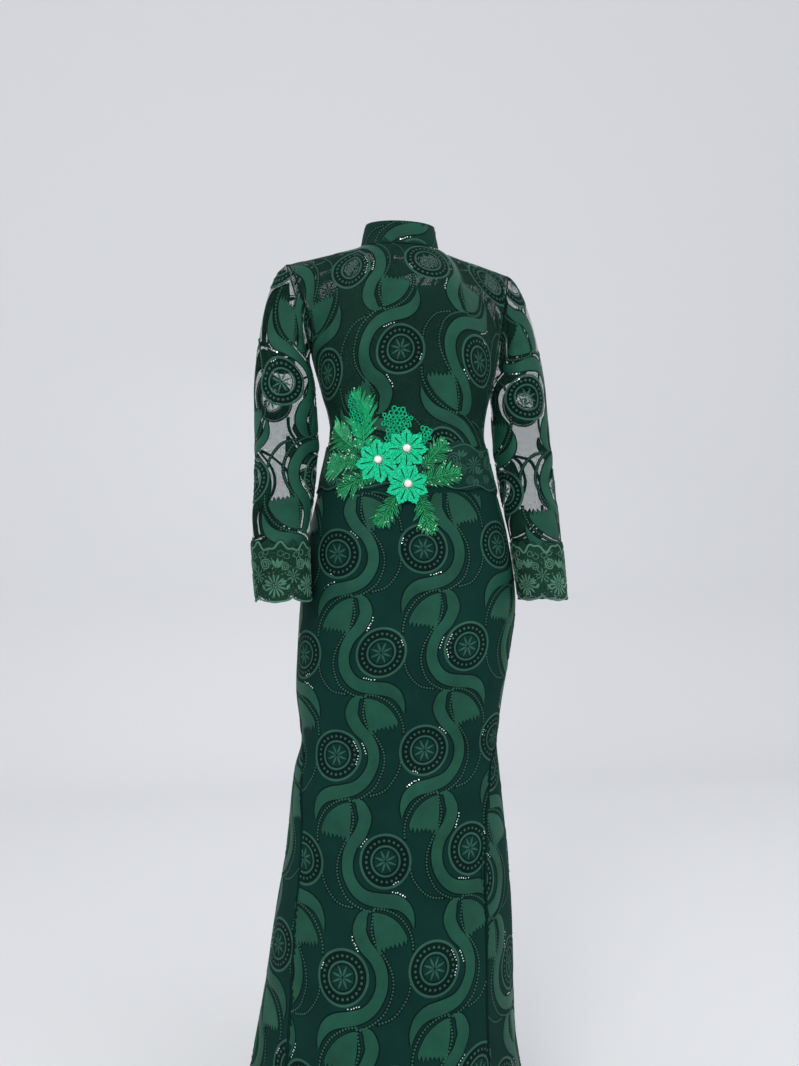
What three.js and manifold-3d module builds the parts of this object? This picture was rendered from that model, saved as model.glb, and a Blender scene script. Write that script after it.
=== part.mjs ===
// A long-sleeved lace gown as it hangs on a standing figure, in millimetres. +Z is up and the front faces -Y.
// The origin is the middle of the neck base. "left" is the -X side and "right" the +X side.
// Each piece of cloth is a closed wall: a grid of points on its outer face, and the same grid moved inwards.
import * as THREE from "three";
import Module from "manifold-3d";

const wasm = await Module();
wasm.setup();

// Driving dimensions.
const WAIST_SEAM = -378;
const UNDERARM = -180;
const KNEE = -800;
const HEM = -1485;
const NECK = { half: 66, front: 57, back: 58, tilt: 0.21 };
const COLLAR_TOP = { half: 58, front: 51, back: 50 };
const COLLAR_HEIGHT = 35;
const SHOULDER_TIP = { x: 189, y: 8, z: -34 };
const NECK_SHARE = 0.5; // share of each upper edge that follows the neck; the rest is the shoulder seam
const BICEPS = -250; // level where the sleeve head ends
const SLEEVE_END = -574;
const TRIM = { top: -343, bottom: -413, wave: 5 };
const CUFF = { gap: 0.6, height: 88, scallops: 5, scallopDepth: 12, crest: 7 };

// Wall thicknesses and gaps.
const NET = 1.4;
const LINING = 1.2;
const SKIRT_CLOTH = 2; // lace worked as one with its backing
const BORDER = 2;
const COLLAR_CLOTH = 2;
const APPLIQUE = 1.6;
const SEAM = 0.3; // half the gap between two pieces at a seam
const LAY = 0.35; // gap under what lies on a piece
const LINING_GAP = 1;
const LINING_SLACK = 1.8; // how much further in the lining's top edge lies
const TRIM_GAP = 0.7; // gap under the waist trim, which bridges the hollow of the waist
const CORSAGE_GAP = 0.95;
const BACK_EDGE = 0.003; // how far each back piece stops short of the centre back, as a share of its width

const COLOURS = {
  net: 0x1f4a40, lining: 0x0f2a28, skirt: 0x1c3d38, border: 0x234d42,
  emerald: 0x14a878, glitter: 0x1d7a48, pearl: 0xf1e6e4, zip: 0x2b5a4c,
};

// The figure, level by level: half width, depth before and behind the axis, and sideways sway.
const FIGURE = [
  { z: -1485, half: 229, front: 212, back: 245, sway: -22 },
  { z: -1363, half: 212, front: 190, back: 220, sway: -21 },
  { z: -1288, half: 201, front: 176, back: 203, sway: -20 },
  { z: -1189, half: 193, front: 158, back: 180, sway: -14 },
  { z: -1089, half: 186, front: 140, back: 158, sway: -8 },
  { z: -989, half: 176, front: 122, back: 135, sway: -3 },
  { z: -865, half: 167, front: 102, back: 110, sway: -3 },
  { z: -815, half: 160, front: 98, back: 102, sway: 1 },
  { z: -740, half: 170, front: 104, back: 110, sway: 2 },
  { z: -680, half: 175, front: 110, back: 118, sway: 8 },
  { z: -590, half: 178, front: 114, back: 122, sway: 16 },
  { z: -480, half: 164, front: 109, back: 116, sway: 15 },
  { z: -420, half: 150, front: 103, back: 109, sway: 14 },
  { z: -378, half: 140, front: 99, back: 102, sway: 13 },
  { z: -345, half: 133, front: 96, back: 96, sway: 13 },
  { z: -299, half: 129, front: 95, back: 92, sway: 13 },
  { z: -235, half: 145, front: 103, back: 96, sway: 11 },
  { z: -180, half: 158, front: 106, back: 98, sway: 10 },
];
const SQUARENESS = 0.04;
const CUP = { lift: 27, apart: 80, level: -188, spread: 44, tall: 50 };

// Soft flutes that open below the knee: angle from the front, width in degrees and height at the hem.
const FLUTES = [
  { angle: -52, width: 9, height: -12 },
  { angle: 52, width: 9, height: -12 },
  { angle: -24, width: 11, height: 5 },
  { angle: 28, width: 11, height: 4 },
  { angle: -90, width: 14, height: 16 },
  { angle: 90, width: 14, height: 16 },
  { angle: -128, width: 9, height: -12 },
  { angle: 128, width: 9, height: -13 },
  { angle: -156, width: 10, height: 8 },
  { angle: 155, width: 10, height: 7 },
  { angle: 180, width: 8, height: -7 },
];

// Columns of the chest and the upper back, from the middle to the armhole: the way the cloth sets off upwards from
// the underarm level (off) and the way it reaches the neck or the shoulder seam (in).
const CHEST = [
  { s: 0, offX: 0, offY: 10, offZ: 170, inX: 0, inY: 95, inZ: 95 },
  { s: 0.25, offX: -8, offY: 10, offZ: 175, inX: -30, inY: 110, inZ: 75 },
  { s: 0.5, offX: -15, offY: 10, offZ: 180, inX: -50, inY: 130, inZ: 40 },
  { s: 0.75, offX: -12, offY: -25, offZ: 165, inX: -5, inY: 135, inZ: 12 },
  { s: 1, offX: -25, offY: -190, offZ: 60, inX: 25, inY: 150, inZ: 25 },
];
const UPPER_BACK = [
  { s: 0, offX: 0, offY: 45, offZ: 170, inX: 0, inY: -95, inZ: 110 },
  { s: 0.25, offX: -5, offY: 40, offZ: 170, inX: -30, inY: -100, inZ: 90 },
  { s: 0.5, offX: -12, offY: 55, offZ: 180, inX: -50, inY: -130, inZ: 40 },
  { s: 0.75, offX: -10, offY: 60, offZ: 165, inX: -5, inY: -135, inZ: 12 },
  { s: 1, offX: -20, offY: 200, offZ: 60, inX: 25, inY: -160, inZ: 25 },
];

// Where the strapless lining stops, as a share of the way from the underarm level to the neck.
const LINING_TOP = [
  { s: 0, rise: 0.46 },
  { s: 0.45, rise: 0.46 },
  { s: 0.7, rise: 0.36 },
  { s: 1, rise: 0.06 },
];

// Sleeve sections below the biceps: middle and half sizes of each ring.
const SLEEVE = {
  left: [
    { z: -600, x: -189, y: -80, across: 40, deep: 41 },
    { z: -500, x: -195, y: -60, across: 43, deep: 45 },
    { z: -420, x: -190, y: -38, across: 47.5, deep: 49 },
    { z: -340, x: -187, y: -14, across: 51, deep: 53 },
    { z: -250, x: -190, y: -2, across: 50, deep: 56 },
  ],
  right: [
    { z: -600, x: 226, y: -66, across: 36.5, deep: 40 },
    { z: -500, x: 220, y: -48, across: 40, deep: 44 },
    { z: -420, x: 212, y: -30, across: 45, deep: 48 },
    { z: -340, x: 208, y: -12, across: 48, deep: 52 },
    { z: -250, x: 204, y: -2, across: 46, deep: 56 },
  ],
};
// How the sleeve head leaves the armhole: turn 0 is the underarm, 0.25 the front, 0.5 the shoulder tip.
const SLEEVE_HEAD = [
  { turn: 0, x: 22, y: 0, z: -62 },
  { turn: 0.25, x: 70, y: -30, z: -75 },
  { turn: 0.5, x: 122, y: 0, z: -62 },
  { turn: 0.75, x: 70, y: 34, z: -75 },
  { turn: 1, x: 22, y: 0, z: -62 },
];
// Soft folds across the sleeves at the armhole and elbow.
const SLEEVE_FOLDS = [
  { z: -322, turn: 0.2, tall: 7, wide: 0.13, height: -2.6 },
  { z: -345, turn: 0.24, tall: 8, wide: 0.15, height: 2.4 },
  { z: -370, turn: 0.15, tall: 8, wide: 0.12, height: -2.8 },
  { z: -352, turn: 0.7, tall: 10, wide: 0.12, height: 2.2 },
  { z: -445, turn: 0.4, tall: 12, wide: 0.16, height: 1.8 },
];

// Edges of the skirt front and of the flare pieces, in degrees from the front.
const SEAMS = [
  { z: -1485, left: -50, right: 42, back: 134 },
  { z: -1189, left: -56, right: 40, back: 130 },
  { z: -1015, left: -61, right: 42, back: 128 },
  { z: -930, left: -63, right: 46, back: 124 },
  { z: -845, left: -68, right: 56, back: 116 },
  { z: -800, left: -89, right: 89, back: 91 },
  { z: -378, left: -90, right: 90, back: 90 },
];

// Applique sprays: where each starts, where it points (0 is right, 90 up), its size and its teeth.
const SPRAYS = [
  { name: "spray_upper_left", angle: -35, z: -342, heading: 103, length: 78, width: 44, teeth: 5 },
  { name: "spray_left_high", angle: -43, z: -350, heading: 146, length: 66, width: 22, teeth: 6 },
  { name: "spray_left_low", angle: -42, z: -374, heading: 181, length: 52, width: 20, teeth: 5 },
  { name: "spray_lower_left", angle: -31, z: -397, heading: 206, length: 50, width: 20, teeth: 5 },
  { name: "spray_bottom_left", angle: -13, z: -430, heading: 240, length: 48, width: 20, teeth: 5 },
  { name: "spray_bottom_right", angle: 1, z: -427, heading: 284, length: 60, width: 22, teeth: 6 },
  { name: "spray_right", angle: 5, z: -401, heading: 13, length: 58, width: 24, teeth: 6 },
  { name: "spray_upper_right", angle: 7, z: -374, heading: 47, length: 46, width: 22, teeth: 5 },
];
const BUBBLES = [
  { name: "bubbles_top", angle: -14, z: -331, heading: 84, length: 44, width: 46, teeth: 4 },
  { name: "bubbles_right", angle: 5, z: -337, heading: 70, length: 20, width: 20, teeth: 2 },
];
const FLOWERS = [
  { name: "flower_1", pearl: "pearl_1", angle: -24.1, z: -372.8, radius: 33, layer: 1, phase: 10 },
  { name: "flower_2", pearl: "pearl_2", angle: -6.9, z: -355, radius: 30, layer: 2, phase: 0 },
  { name: "flower_3", pearl: "pearl_3", angle: -6.3, z: -410.4, radius: 30, layer: 2, phase: 22.5 },
];
const PETALS = 8;
const PEARL_RADIUS = 6;
const FLOWER_EYE = 2.5; // radius of the hole under the pearl

const rad = THREE.MathUtils.degToRad;
const vec = (x, y, z) => new THREE.Vector3(x, y, z);
const steps = (from, to, count) => Array.from({ length: count + 1 }, (_, i) => from + ((to - from) * i) / count);
const bell = (d) => Math.exp(-0.5 * d * d);

// The value of a table's column at a place, on a smooth curve through its rows.
function along(table, by, column, place) {
  const last = table.length - 1;
  const p = Math.min(Math.max(place, table[0][by]), table[last][by]);
  let i = 0;
  while (i < last - 1 && p > table[i + 1][by]) i++;
  const slope = (a, b) => (table[b][column] - table[a][column]) / (table[b][by] - table[a][by]);
  const span = table[i + 1][by] - table[i][by];
  const t = (p - table[i][by]) / span;
  const leave = slope(Math.max(i - 1, 0), i + 1) * span;
  const arrive = slope(i, Math.min(i + 2, last)) * span;
  return hermite(table[i][column], leave, table[i + 1][column], arrive, t);
}

function hermite(start, leave, end, arrive, t) {
  const u = t * t * (3 - 2 * t);
  return start * (1 - u) + end * u + t * (1 - t) * (leave * (1 - t) - arrive * t);
}

// The same on straight lines from row to row.
function straight(table, by, column, place) {
  const last = table.length - 1;
  let i = 0;
  while (i < last - 1 && place > table[i + 1][by]) i++;
  const t = (place - table[i][by]) / (table[i + 1][by] - table[i][by]);
  return table[i][column] + (table[i + 1][column] - table[i][column]) * t;
}

// A point of the gown below the underarm, at an angle in degrees from the front and a level.
function figure(angle, z) {
  const turn = rad(angle);
  const opening = Math.max(0, (KNEE - z) / (KNEE - HEM)) ** 1.5;
  let flute = 0;
  for (const f of FLUTES) {
    const away = ((angle - f.angle + 540) % 360) - 180;
    flute += f.height * bell(away / f.width) * opening;
  }
  const fuller = 1 + SQUARENESS * Math.sin(2 * turn) ** 2;
  const facing = Math.cos(turn);
  const depth = along(FIGURE, "z", facing > 0 ? "front" : "back", z) + flute;
  const across = (along(FIGURE, "z", "half", z) + flute) * Math.sin(turn) * fuller;
  const cups = bell((across - CUP.apart) / CUP.spread) + bell((across + CUP.apart) / CUP.spread);
  const lift = CUP.lift * Math.max(0, facing) * cups * bell((z - CUP.level) / CUP.tall);
  return vec(along(FIGURE, "z", "sway", z) + across, -depth * facing * fuller - lift, z);
}

// The neck base ring, at an angle in degrees from the front.
function neckBase(angle) {
  const turn = rad(angle);
  const y = -(Math.cos(turn) > 0 ? NECK.front : NECK.back) * Math.cos(turn);
  return vec(NECK.half * Math.sin(turn), y, y * NECK.tilt);
}

// A point of the upper edge of the front (facing 1) or of the back (facing -1).
function upperEdge(facing, s) {
  const share = Math.abs(s) / NECK_SHARE;
  if (share <= 1) return neckBase(facing > 0 ? 90 * share * Math.sign(s) : 180 - 90 * share * Math.sign(s));
  const k = (Math.abs(s) - NECK_SHARE) / (1 - NECK_SHARE);
  const x = NECK.half + (SHOULDER_TIP.x - NECK.half) * k;
  return vec(Math.sign(s) * x, SHOULDER_TIP.y * k, SHOULDER_TIP.z * k ** 0.9);
}

// A point of the bodice. s runs from the middle (0) to the side or armhole (1 right, -1 left); v runs from the
// waist seam (-1) by the underarm level (0) to the neck and shoulder (1).
function bodice(facing, s, v) {
  const angle = facing > 0 ? 90 * s : 180 - 90 * s;
  if (v <= 0) return figure(angle, UNDERARM + v * (UNDERARM - WAIST_SEAM));
  const table = facing > 0 ? CHEST : UPPER_BACK;
  const set = (column) => along(table, "s", column, Math.abs(s));
  const side = Math.sign(s) || 1;
  const start = figure(angle, UNDERARM);
  const end = upperEdge(facing, s);
  return vec(
    hermite(start.x, side * set("offX"), end.x, side * set("inX"), v),
    hermite(start.y, set("offY"), end.y, set("inY"), v),
    hermite(start.z, set("offZ"), end.z, set("inZ"), v),
  );
}

// A ring of the sleeve below the biceps. turn 0 faces the body, 0.25 the front and 0.5 away from the body.
function sleeveRing(side, turn, z, out = 0) {
  const table = side > 0 ? SLEEVE.right : SLEEVE.left;
  const at = (column) => along(table, "z", column, z);
  const a = 2 * Math.PI * turn;
  let fold = out;
  for (const f of SLEEVE_FOLDS) {
    const away = ((turn - f.turn + 1.5) % 1) - 0.5;
    fold += f.height * bell(away / f.wide) * bell((z - f.z) / f.tall);
  }
  const x = at("x") - side * (at("across") + fold) * Math.cos(a);
  return vec(x, at("y") - (at("deep") + fold) * Math.sin(a), z);
}

// A point of the sleeve. v runs from its end (-1) by the biceps (0) to the armhole (1).
function sleeve(side, turn, v) {
  if (v <= 0) return sleeveRing(side, turn, BICEPS + v * (BICEPS - SLEEVE_END));
  const round = ((turn % 1) + 1) % 1;
  const hole = round <= 0.5 ? bodice(1, side, 2 * round) : bodice(-1, side, 2 - 2 * round);
  hole.x += side * 2 * SEAM;
  const ring = sleeveRing(side, turn, BICEPS);
  const set = (column) => along(SLEEVE_HEAD, "turn", column, round);
  return vec(
    hermite(ring.x, 0, hole.x, -side * set("x"), v),
    hermite(ring.y, 0, hole.y, -set("y"), v),
    hermite(ring.z, 90, hole.z, -set("z"), v),
  );
}

// The collar: angle in degrees from the front, v from its seam (0) to its top (1).
function collar(angle, v) {
  const turn = rad(angle);
  const front = Math.cos(turn) > 0;
  const half = NECK.half + (COLLAR_TOP.half - NECK.half) * v;
  const low = front ? NECK.front : NECK.back;
  const depth = low + ((front ? COLLAR_TOP.front : COLLAR_TOP.back) - low) * v;
  const y = -depth * Math.cos(turn) - COLLAR_HEIGHT * v * NECK.tilt;
  const z = -depth * Math.cos(turn) * NECK.tilt + COLLAR_HEIGHT * v + 2 * SEAM;
  return vec(half * Math.sin(turn), y, z);
}

// The outward direction of a surface at a grid place.
function outward(surface, a, b, mirrored) {
  const h = 1e-3;
  const da = surface(a + h, b).sub(surface(a - h, b));
  const db = surface(a, b + h).sub(surface(a, b - h));
  return da.cross(db).normalize().multiplyScalar(mirrored ? -1 : 1);
}

// A point moved out of a surface.
function movedOut(surface, a, b, distance, mirrored = false) {
  return surface(a, b).addScaledVector(outward(surface, a, b, mirrored), distance);
}

// A closed wall between an outer and an inner grid. A tube joins its last column to its first; a mirrored wall
// runs its columns clockwise seen from above.
function wallGeometry(columns, rows, outerAt, innerAt, { tube = false, mirrored = false } = {}) {
  const across = tube ? columns.slice(0, -1) : columns;
  const count = across.length;
  const positions = [];
  for (const at of [outerAt, innerAt])
    for (const b of rows) for (const a of across) positions.push(...at(a, b).toArray());
  const inner = count * rows.length;
  const place = (i, j) => j * count + (i % count);
  const index = [];
  const quad = (a, b, c, d) => index.push(...(mirrored ? [a, c, b, a, d, c] : [a, b, c, a, c, d]));
  const wide = tube ? count : count - 1;
  for (let i = 0; i < wide; i++)
    for (let j = 0; j < rows.length - 1; j++) {
      const [a, b, c, d] = [place(i, j), place(i + 1, j), place(i + 1, j + 1), place(i, j + 1)];
      quad(a, b, c, d);
      quad(inner + a, inner + d, inner + c, inner + b);
    }
  const top = rows.length - 1;
  for (let i = 0; i < wide; i++) {
    quad(inner + place(i, 0), inner + place(i + 1, 0), place(i + 1, 0), place(i, 0));
    quad(place(i, top), place(i + 1, top), inner + place(i + 1, top), inner + place(i, top));
  }
  if (!tube)
    for (let j = 0; j < top; j++) {
      quad(inner + place(0, j), place(0, j), place(0, j + 1), inner + place(0, j + 1));
      quad(place(wide, j), inner + place(wide, j), inner + place(wide, j + 1), place(wide, j + 1));
    }
  const geometry = new THREE.BufferGeometry();
  geometry.setAttribute("position", new THREE.Float32BufferAttribute(positions, 3));
  geometry.setIndex(index);
  geometry.computeVertexNormals();
  return geometry;
}

const gown = new THREE.Group();
gown.name = "lace_gown";

function add(name, geometry, colour, roughness = 0.8, metalness = 0) {
  const mesh = new THREE.Mesh(geometry, new THREE.MeshStandardMaterial({ color: colour, roughness, metalness }));
  mesh.name = name;
  gown.add(mesh);
  return mesh;
}

// A wall of cloth inside a surface; lift moves both of its faces out.
function cloth(name, colour, surface, columns, rows, thickness, { lift = 0, tube, mirrored } = {}) {
  const outer = (a, b) => movedOut(surface, a, b, lift, mirrored);
  const inner = (a, b) => movedOut(surface, a, b, lift - thickness, mirrored);
  return add(name, wallGeometry(columns, rows, outer, inner, { tube, mirrored }), colour);
}

// The rows of the bodice, shared by its pieces so that their seams meet.
const LOWER_ROWS = 9;
const UPPER_ROWS = 10;
const EDGE = 0.0016; // how far bodice pieces stop short of their side and shoulder seams
const BODICE_ROWS = [
  ...steps(-1 + EDGE, -1 / LOWER_ROWS, LOWER_ROWS - 1),
  ...steps(0, 1 - 2 * EDGE, UPPER_ROWS),
];
const FRONT_COLUMNS = steps(-1 + EDGE, 1 - EDGE, 20);
const HALF_BACK_COLUMNS = steps(BACK_EDGE, 1 - EDGE, 10);

function makeBodice() {
  cloth("bodice_front", COLOURS.net, (s, v) => bodice(1, s, v), FRONT_COLUMNS, BODICE_ROWS, NET);
  for (const [name, side] of [["bodice_back_left", -1], ["bodice_back_right", 1]]) {
    const surface = (s, v) => bodice(-1, side * s, v);
    cloth(name, COLOURS.net, surface, HALF_BACK_COLUMNS, BODICE_ROWS, NET, { mirrored: side > 0 });
  }
}

// The lining follows the bodice's lower rows, then fans up to its own top edge.
function makeLining() {
  const rows = [...steps(-1 + EDGE, -1 / LOWER_ROWS, LOWER_ROWS - 1), ...steps(0, 1, 5)];
  const edged = (facing) => (s, v) => {
    const level = v <= 0 ? v : v * along(LINING_TOP, "s", "rise", Math.abs(s));
    return movedOut((a, b) => bodice(facing, a, b), s, level, -LINING_SLACK * Math.max(0, v), facing < 0);
  };
  const lift = -NET - LINING_GAP;
  cloth("lining_front", COLOURS.lining, edged(1), steps(-1 + EDGE, 1 - EDGE, 14), rows, LINING, { lift });
  for (const [name, side] of [["lining_back_left", -1], ["lining_back_right", 1]]) {
    const surface = (s, v) => edged(-1)(side * s, v);
    const columns = steps(BACK_EDGE, 1 - EDGE, 7);
    cloth(name, COLOURS.lining, surface, columns, rows, LINING, { lift, mirrored: side > 0 });
  }
}

function makeSleeves() {
  const columns = steps(0, 1, 2 * UPPER_ROWS);
  const rows = [...steps(-1, -0.11, 9), ...steps(0, 1, 6)];
  for (const [name, side] of [["sleeve_left", -1], ["sleeve_right", 1]]) {
    const surface = (turn, v) => sleeve(side, turn, v);
    cloth(name, COLOURS.net, surface, columns, rows, NET, { tube: true, mirrored: side < 0 });
  }
}

// Border lace round the sleeve ends, scalloped below and with low crests above.
function makeCuffs() {
  const columns = steps(0, 1, 8 * CUFF.scallops);
  const drop = { top: SLEEVE_END + CUFF.height - 16, bottom: SLEEVE_END - 4 };
  for (const [name, side] of [["cuff_left", -1], ["cuff_right", 1]]) {
    const level = (turn, v) => {
      const crest = CUFF.crest * Math.sin(2 * Math.PI * turn * (CUFF.scallops + 2)) ** 2;
      const lobe = CUFF.scallopDepth * Math.abs(Math.sin(Math.PI * turn * CUFF.scallops)) ** 0.8;
      return hermite(drop.bottom - lobe, 0, drop.top + crest, 0, v);
    };
    const at = (out) => (turn, v) => sleeveRing(side, turn, level(turn, v), out);
    const options = { tube: true, mirrored: side < 0 };
    add(name, wallGeometry(columns, steps(0, 1, 2), at(CUFF.gap + BORDER), at(CUFF.gap), options), COLOURS.border);
  }
}

// Skirt pieces share their levels, so the seams meet.
const SKIRT_LEVELS = [
  -1485, -1420, -1355, -1290, -1225, -1160, -1095, -1030, -970, -915, -870, -835, -800,
  -740, -680, -600, -520, -450, WAIST_SEAM,
];

// A skirt piece between two seams, given as functions of the level, in degrees.
function skirtPiece(name, from, to, count, levels) {
  const short = (seam, z) => {
    const half = along(FIGURE, "z", "half", z);
    const lean = rad(seam(z) - seam(z - 1)) * half; // a slanting seam needs a wider gap along the level
    return THREE.MathUtils.radToDeg((SEAM * 1.3 * Math.hypot(1, lean)) / half);
  };
  const surface = (share, z) => {
    const left = from(z) + short(from, z);
    return figure(left + (to(z) - short(to, z) - left) * share, z);
  };
  const rows = levels.map((z) => (z === WAIST_SEAM ? z - SEAM : z));
  cloth(name, COLOURS.skirt, surface, steps(0, 1, count), rows, SKIRT_CLOTH);
}

function makeSkirt() {
  const flared = SKIRT_LEVELS.filter((z) => z <= KNEE);
  const seam = (column, sign = 1, whole = 0) => (z) => whole + sign * straight(SEAMS, "z", column, z);
  const middle = () => 180;
  skirtPiece("skirt_front", seam("left"), seam("right"), 16, SKIRT_LEVELS);
  skirtPiece("godet_right", seam("right"), seam("back"), 6, flared);
  skirtPiece("skirt_back_right", seam("back"), middle, 8, SKIRT_LEVELS);
  skirtPiece("skirt_back_left", middle, seam("back", -1, 360), 8, SKIRT_LEVELS);
  skirtPiece("godet_left", seam("back", -1, 360), seam("left", 1, 360), 6, flared);
}

// Border lace round the waist, over the seam of bodice and skirt.
function makeWaistTrim() {
  const pieces = [
    ["waist_trim_front", -90, 90, 36],
    ["waist_trim_back_right", 90, 180, 18],
    ["waist_trim_back_left", 180, 270, 18],
  ];
  const edges = 0.25; // degrees left free at each seam
  const level = (angle, v) => {
    const crest = TRIM.wave * Math.cos(rad(angle * 12));
    return hermite(TRIM.bottom - crest * 0.7, 0, TRIM.top + crest, 0, v);
  };
  for (const [name, from, to, count] of pieces) {
    const at = (out) => (angle, v) => movedOut(figure, angle, level(angle, v), out);
    const columns = steps(from + edges, to - edges, count);
    add(name, wallGeometry(columns, steps(0, 1, 2), at(TRIM_GAP + BORDER), at(TRIM_GAP)), COLOURS.border);
  }
}

function makeCollar() {
  const edge = THREE.MathUtils.radToDeg(2 * SEAM / NECK.back);
  cloth("collar", COLOURS.net, collar, steps(edge - 180, 180 - edge, 28), steps(0, 1, 2), COLLAR_CLOTH);
}

// How far out something lies on the gown's front: on the waist trim, or on the panel beside it.
function restHeight(z) {
  const reach = 16;
  const inside = Math.min(z - (TRIM.bottom - TRIM.wave), TRIM.top + TRIM.wave - z);
  const share = Math.min(Math.max((inside + reach) / reach, 0), 1);
  return CORSAGE_GAP + (TRIM_GAP + BORDER + LAY - CORSAGE_GAP) * share * share * (3 - 2 * share);
}

// A place near a middle, given by its distances right and up in millimetres, as an angle and a level.
function nearby(middle, right, up) {
  const step = figure(middle.angle + 1, middle.z).sub(figure(middle.angle, middle.z));
  return [middle.angle + right / step.length(), middle.z + up];
}

// A flat toothed leaf of applique on the gown's front.
function leaf(spray, colour, roundTeeth) {
  const turn = rad(spray.heading);
  const edge = (v) => {
    const body = Math.sin(Math.PI * Math.min(0.96, 0.08 + v * 0.9)) ** 0.6;
    const tooth = Math.abs(Math.sin(Math.PI * spray.teeth * v));
    return (spray.width / 2) * body * (roundTeeth ? 0.78 + 0.22 * tooth : 0.62 + 0.38 * tooth);
  };
  const at = (out) => (u, v) => {
    const far = spray.length * v;
    const off = u * edge(v);
    const right = far * Math.cos(turn) - off * Math.sin(turn);
    const up = far * Math.sin(turn) + off * Math.cos(turn);
    const [angle, z] = nearby(spray, right, up);
    return movedOut(figure, angle, z, restHeight(z) + out);
  };
  const rows = steps(0, 1, (roundTeeth ? 4 : 2) * spray.teeth);
  const geometry = wallGeometry([1, 0, -1], rows, at(APPLIQUE), at(0));
  add(spray.name, geometry, colour);
}

// A round flower of pointed petals with an eye, raised along each petal.
function flower(spec) {
  const low = restHeight(spec.z) + spec.layer * (APPLIQUE + LAY);
  const at = (top) => (share, v) => {
    const around = 2 * Math.PI * share + rad(spec.phase);
    const petal = Math.abs(Math.cos((PETALS / 2) * (around - rad(spec.phase))));
    const rim = spec.radius * (0.6 + 0.4 * petal ** 0.8);
    const r = rim + (FLOWER_EYE - rim) * v;
    const [angle, z] = nearby(spec, r * Math.cos(around), r * Math.sin(around));
    const ridge = top ? APPLIQUE - 0.5 + 0.5 * petal : 0;
    return movedOut(figure, angle, z, low + ridge);
  };
  const columns = steps(0, 1, 4 * PETALS);
  const geometry = wallGeometry(columns, [0, 0.5, 1], at(true), at(false), { tube: true });
  add(spec.name, geometry, COLOURS.emerald);
  const seat = movedOut(figure, spec.angle, spec.z, low + APPLIQUE + LAY);
  pearl(spec.pearl, seat, outward(figure, spec.angle, spec.z, false));
}

// A pearl with a small flat base.
function pearl(name, seat, direction) {
  const flat = rad(-48);
  const arc = steps(flat, Math.PI / 2, 6).map(
    (a) => new THREE.Vector2(PEARL_RADIUS * Math.cos(a), PEARL_RADIUS * (Math.sin(a) - Math.sin(flat))),
  );
  arc[arc.length - 1].x = 0;
  const mesh = add(name, new THREE.LatheGeometry([new THREE.Vector2(0, 0), ...arc], 12), COLOURS.pearl, 0.25);
  mesh.quaternion.setFromUnitVectors(vec(0, 1, 0), direction);
  mesh.position.copy(seat);
}

function makeCorsage() {
  for (const spray of SPRAYS) leaf(spray, COLOURS.glitter, false);
  for (const spray of BUBBLES) leaf(spray, COLOURS.emerald, true);
  for (const spec of FLOWERS) flower(spec);
}

// The slider of the concealed zip at the top of the centre back, with the tab that swings on it. Both stand in a
// frame whose +Z runs up the collar and whose +Y points away from it.
const ZIP = {
  up: 0.66, // share of the collar's height where the slider sits
  base: 0.5, plate: 1.5, halfWidth: 2.5, halfLength: 4.6,
  axle: 3.3, eyeHalf: 1.25, bridgeHalf: 0.7, bridgeReach: 3.6, bridgeRoof: 0.8, post: 0.8,
  tabThick: 1.3, slotEnd: 4.6, shoulder: 6.5, tabLength: 21, tabHalf: 3,
};

function solidOf(geometry) {
  const source = geometry.index ? geometry.toNonIndexed() : geometry;
  const points = source.getAttribute("position").array;
  const seen = new Map();
  const kept = [];
  const triVerts = [];
  for (let i = 0; i < points.length; i += 3) {
    const key = [0, 1, 2].map((k) => Math.round(points[i + k] * 1e4)).join();
    if (!seen.has(key)) {
      seen.set(key, kept.length / 3);
      kept.push(points[i], points[i + 1], points[i + 2]);
    }
    triVerts.push(seen.get(key));
  }
  const mesh = { numProp: 3, vertProperties: new Float32Array(kept), triVerts: new Uint32Array(triVerts) };
  return new wasm.Manifold(new wasm.Mesh(mesh));
}

function geometryOf(solid) {
  const mesh = solid.getMesh();
  const geometry = new THREE.BufferGeometry();
  geometry.setAttribute("position", new THREE.BufferAttribute(mesh.vertProperties, 3));
  geometry.setIndex(new THREE.BufferAttribute(mesh.triVerts, 1));
  return geometry;
}

function block(x, y, z) {
  const size = [x, y, z].map(([a, b]) => b - a);
  const middle = [x, y, z].map(([a, b]) => (a + b) / 2);
  return solidOf(new THREE.BoxGeometry(...size).translate(...middle));
}

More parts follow.
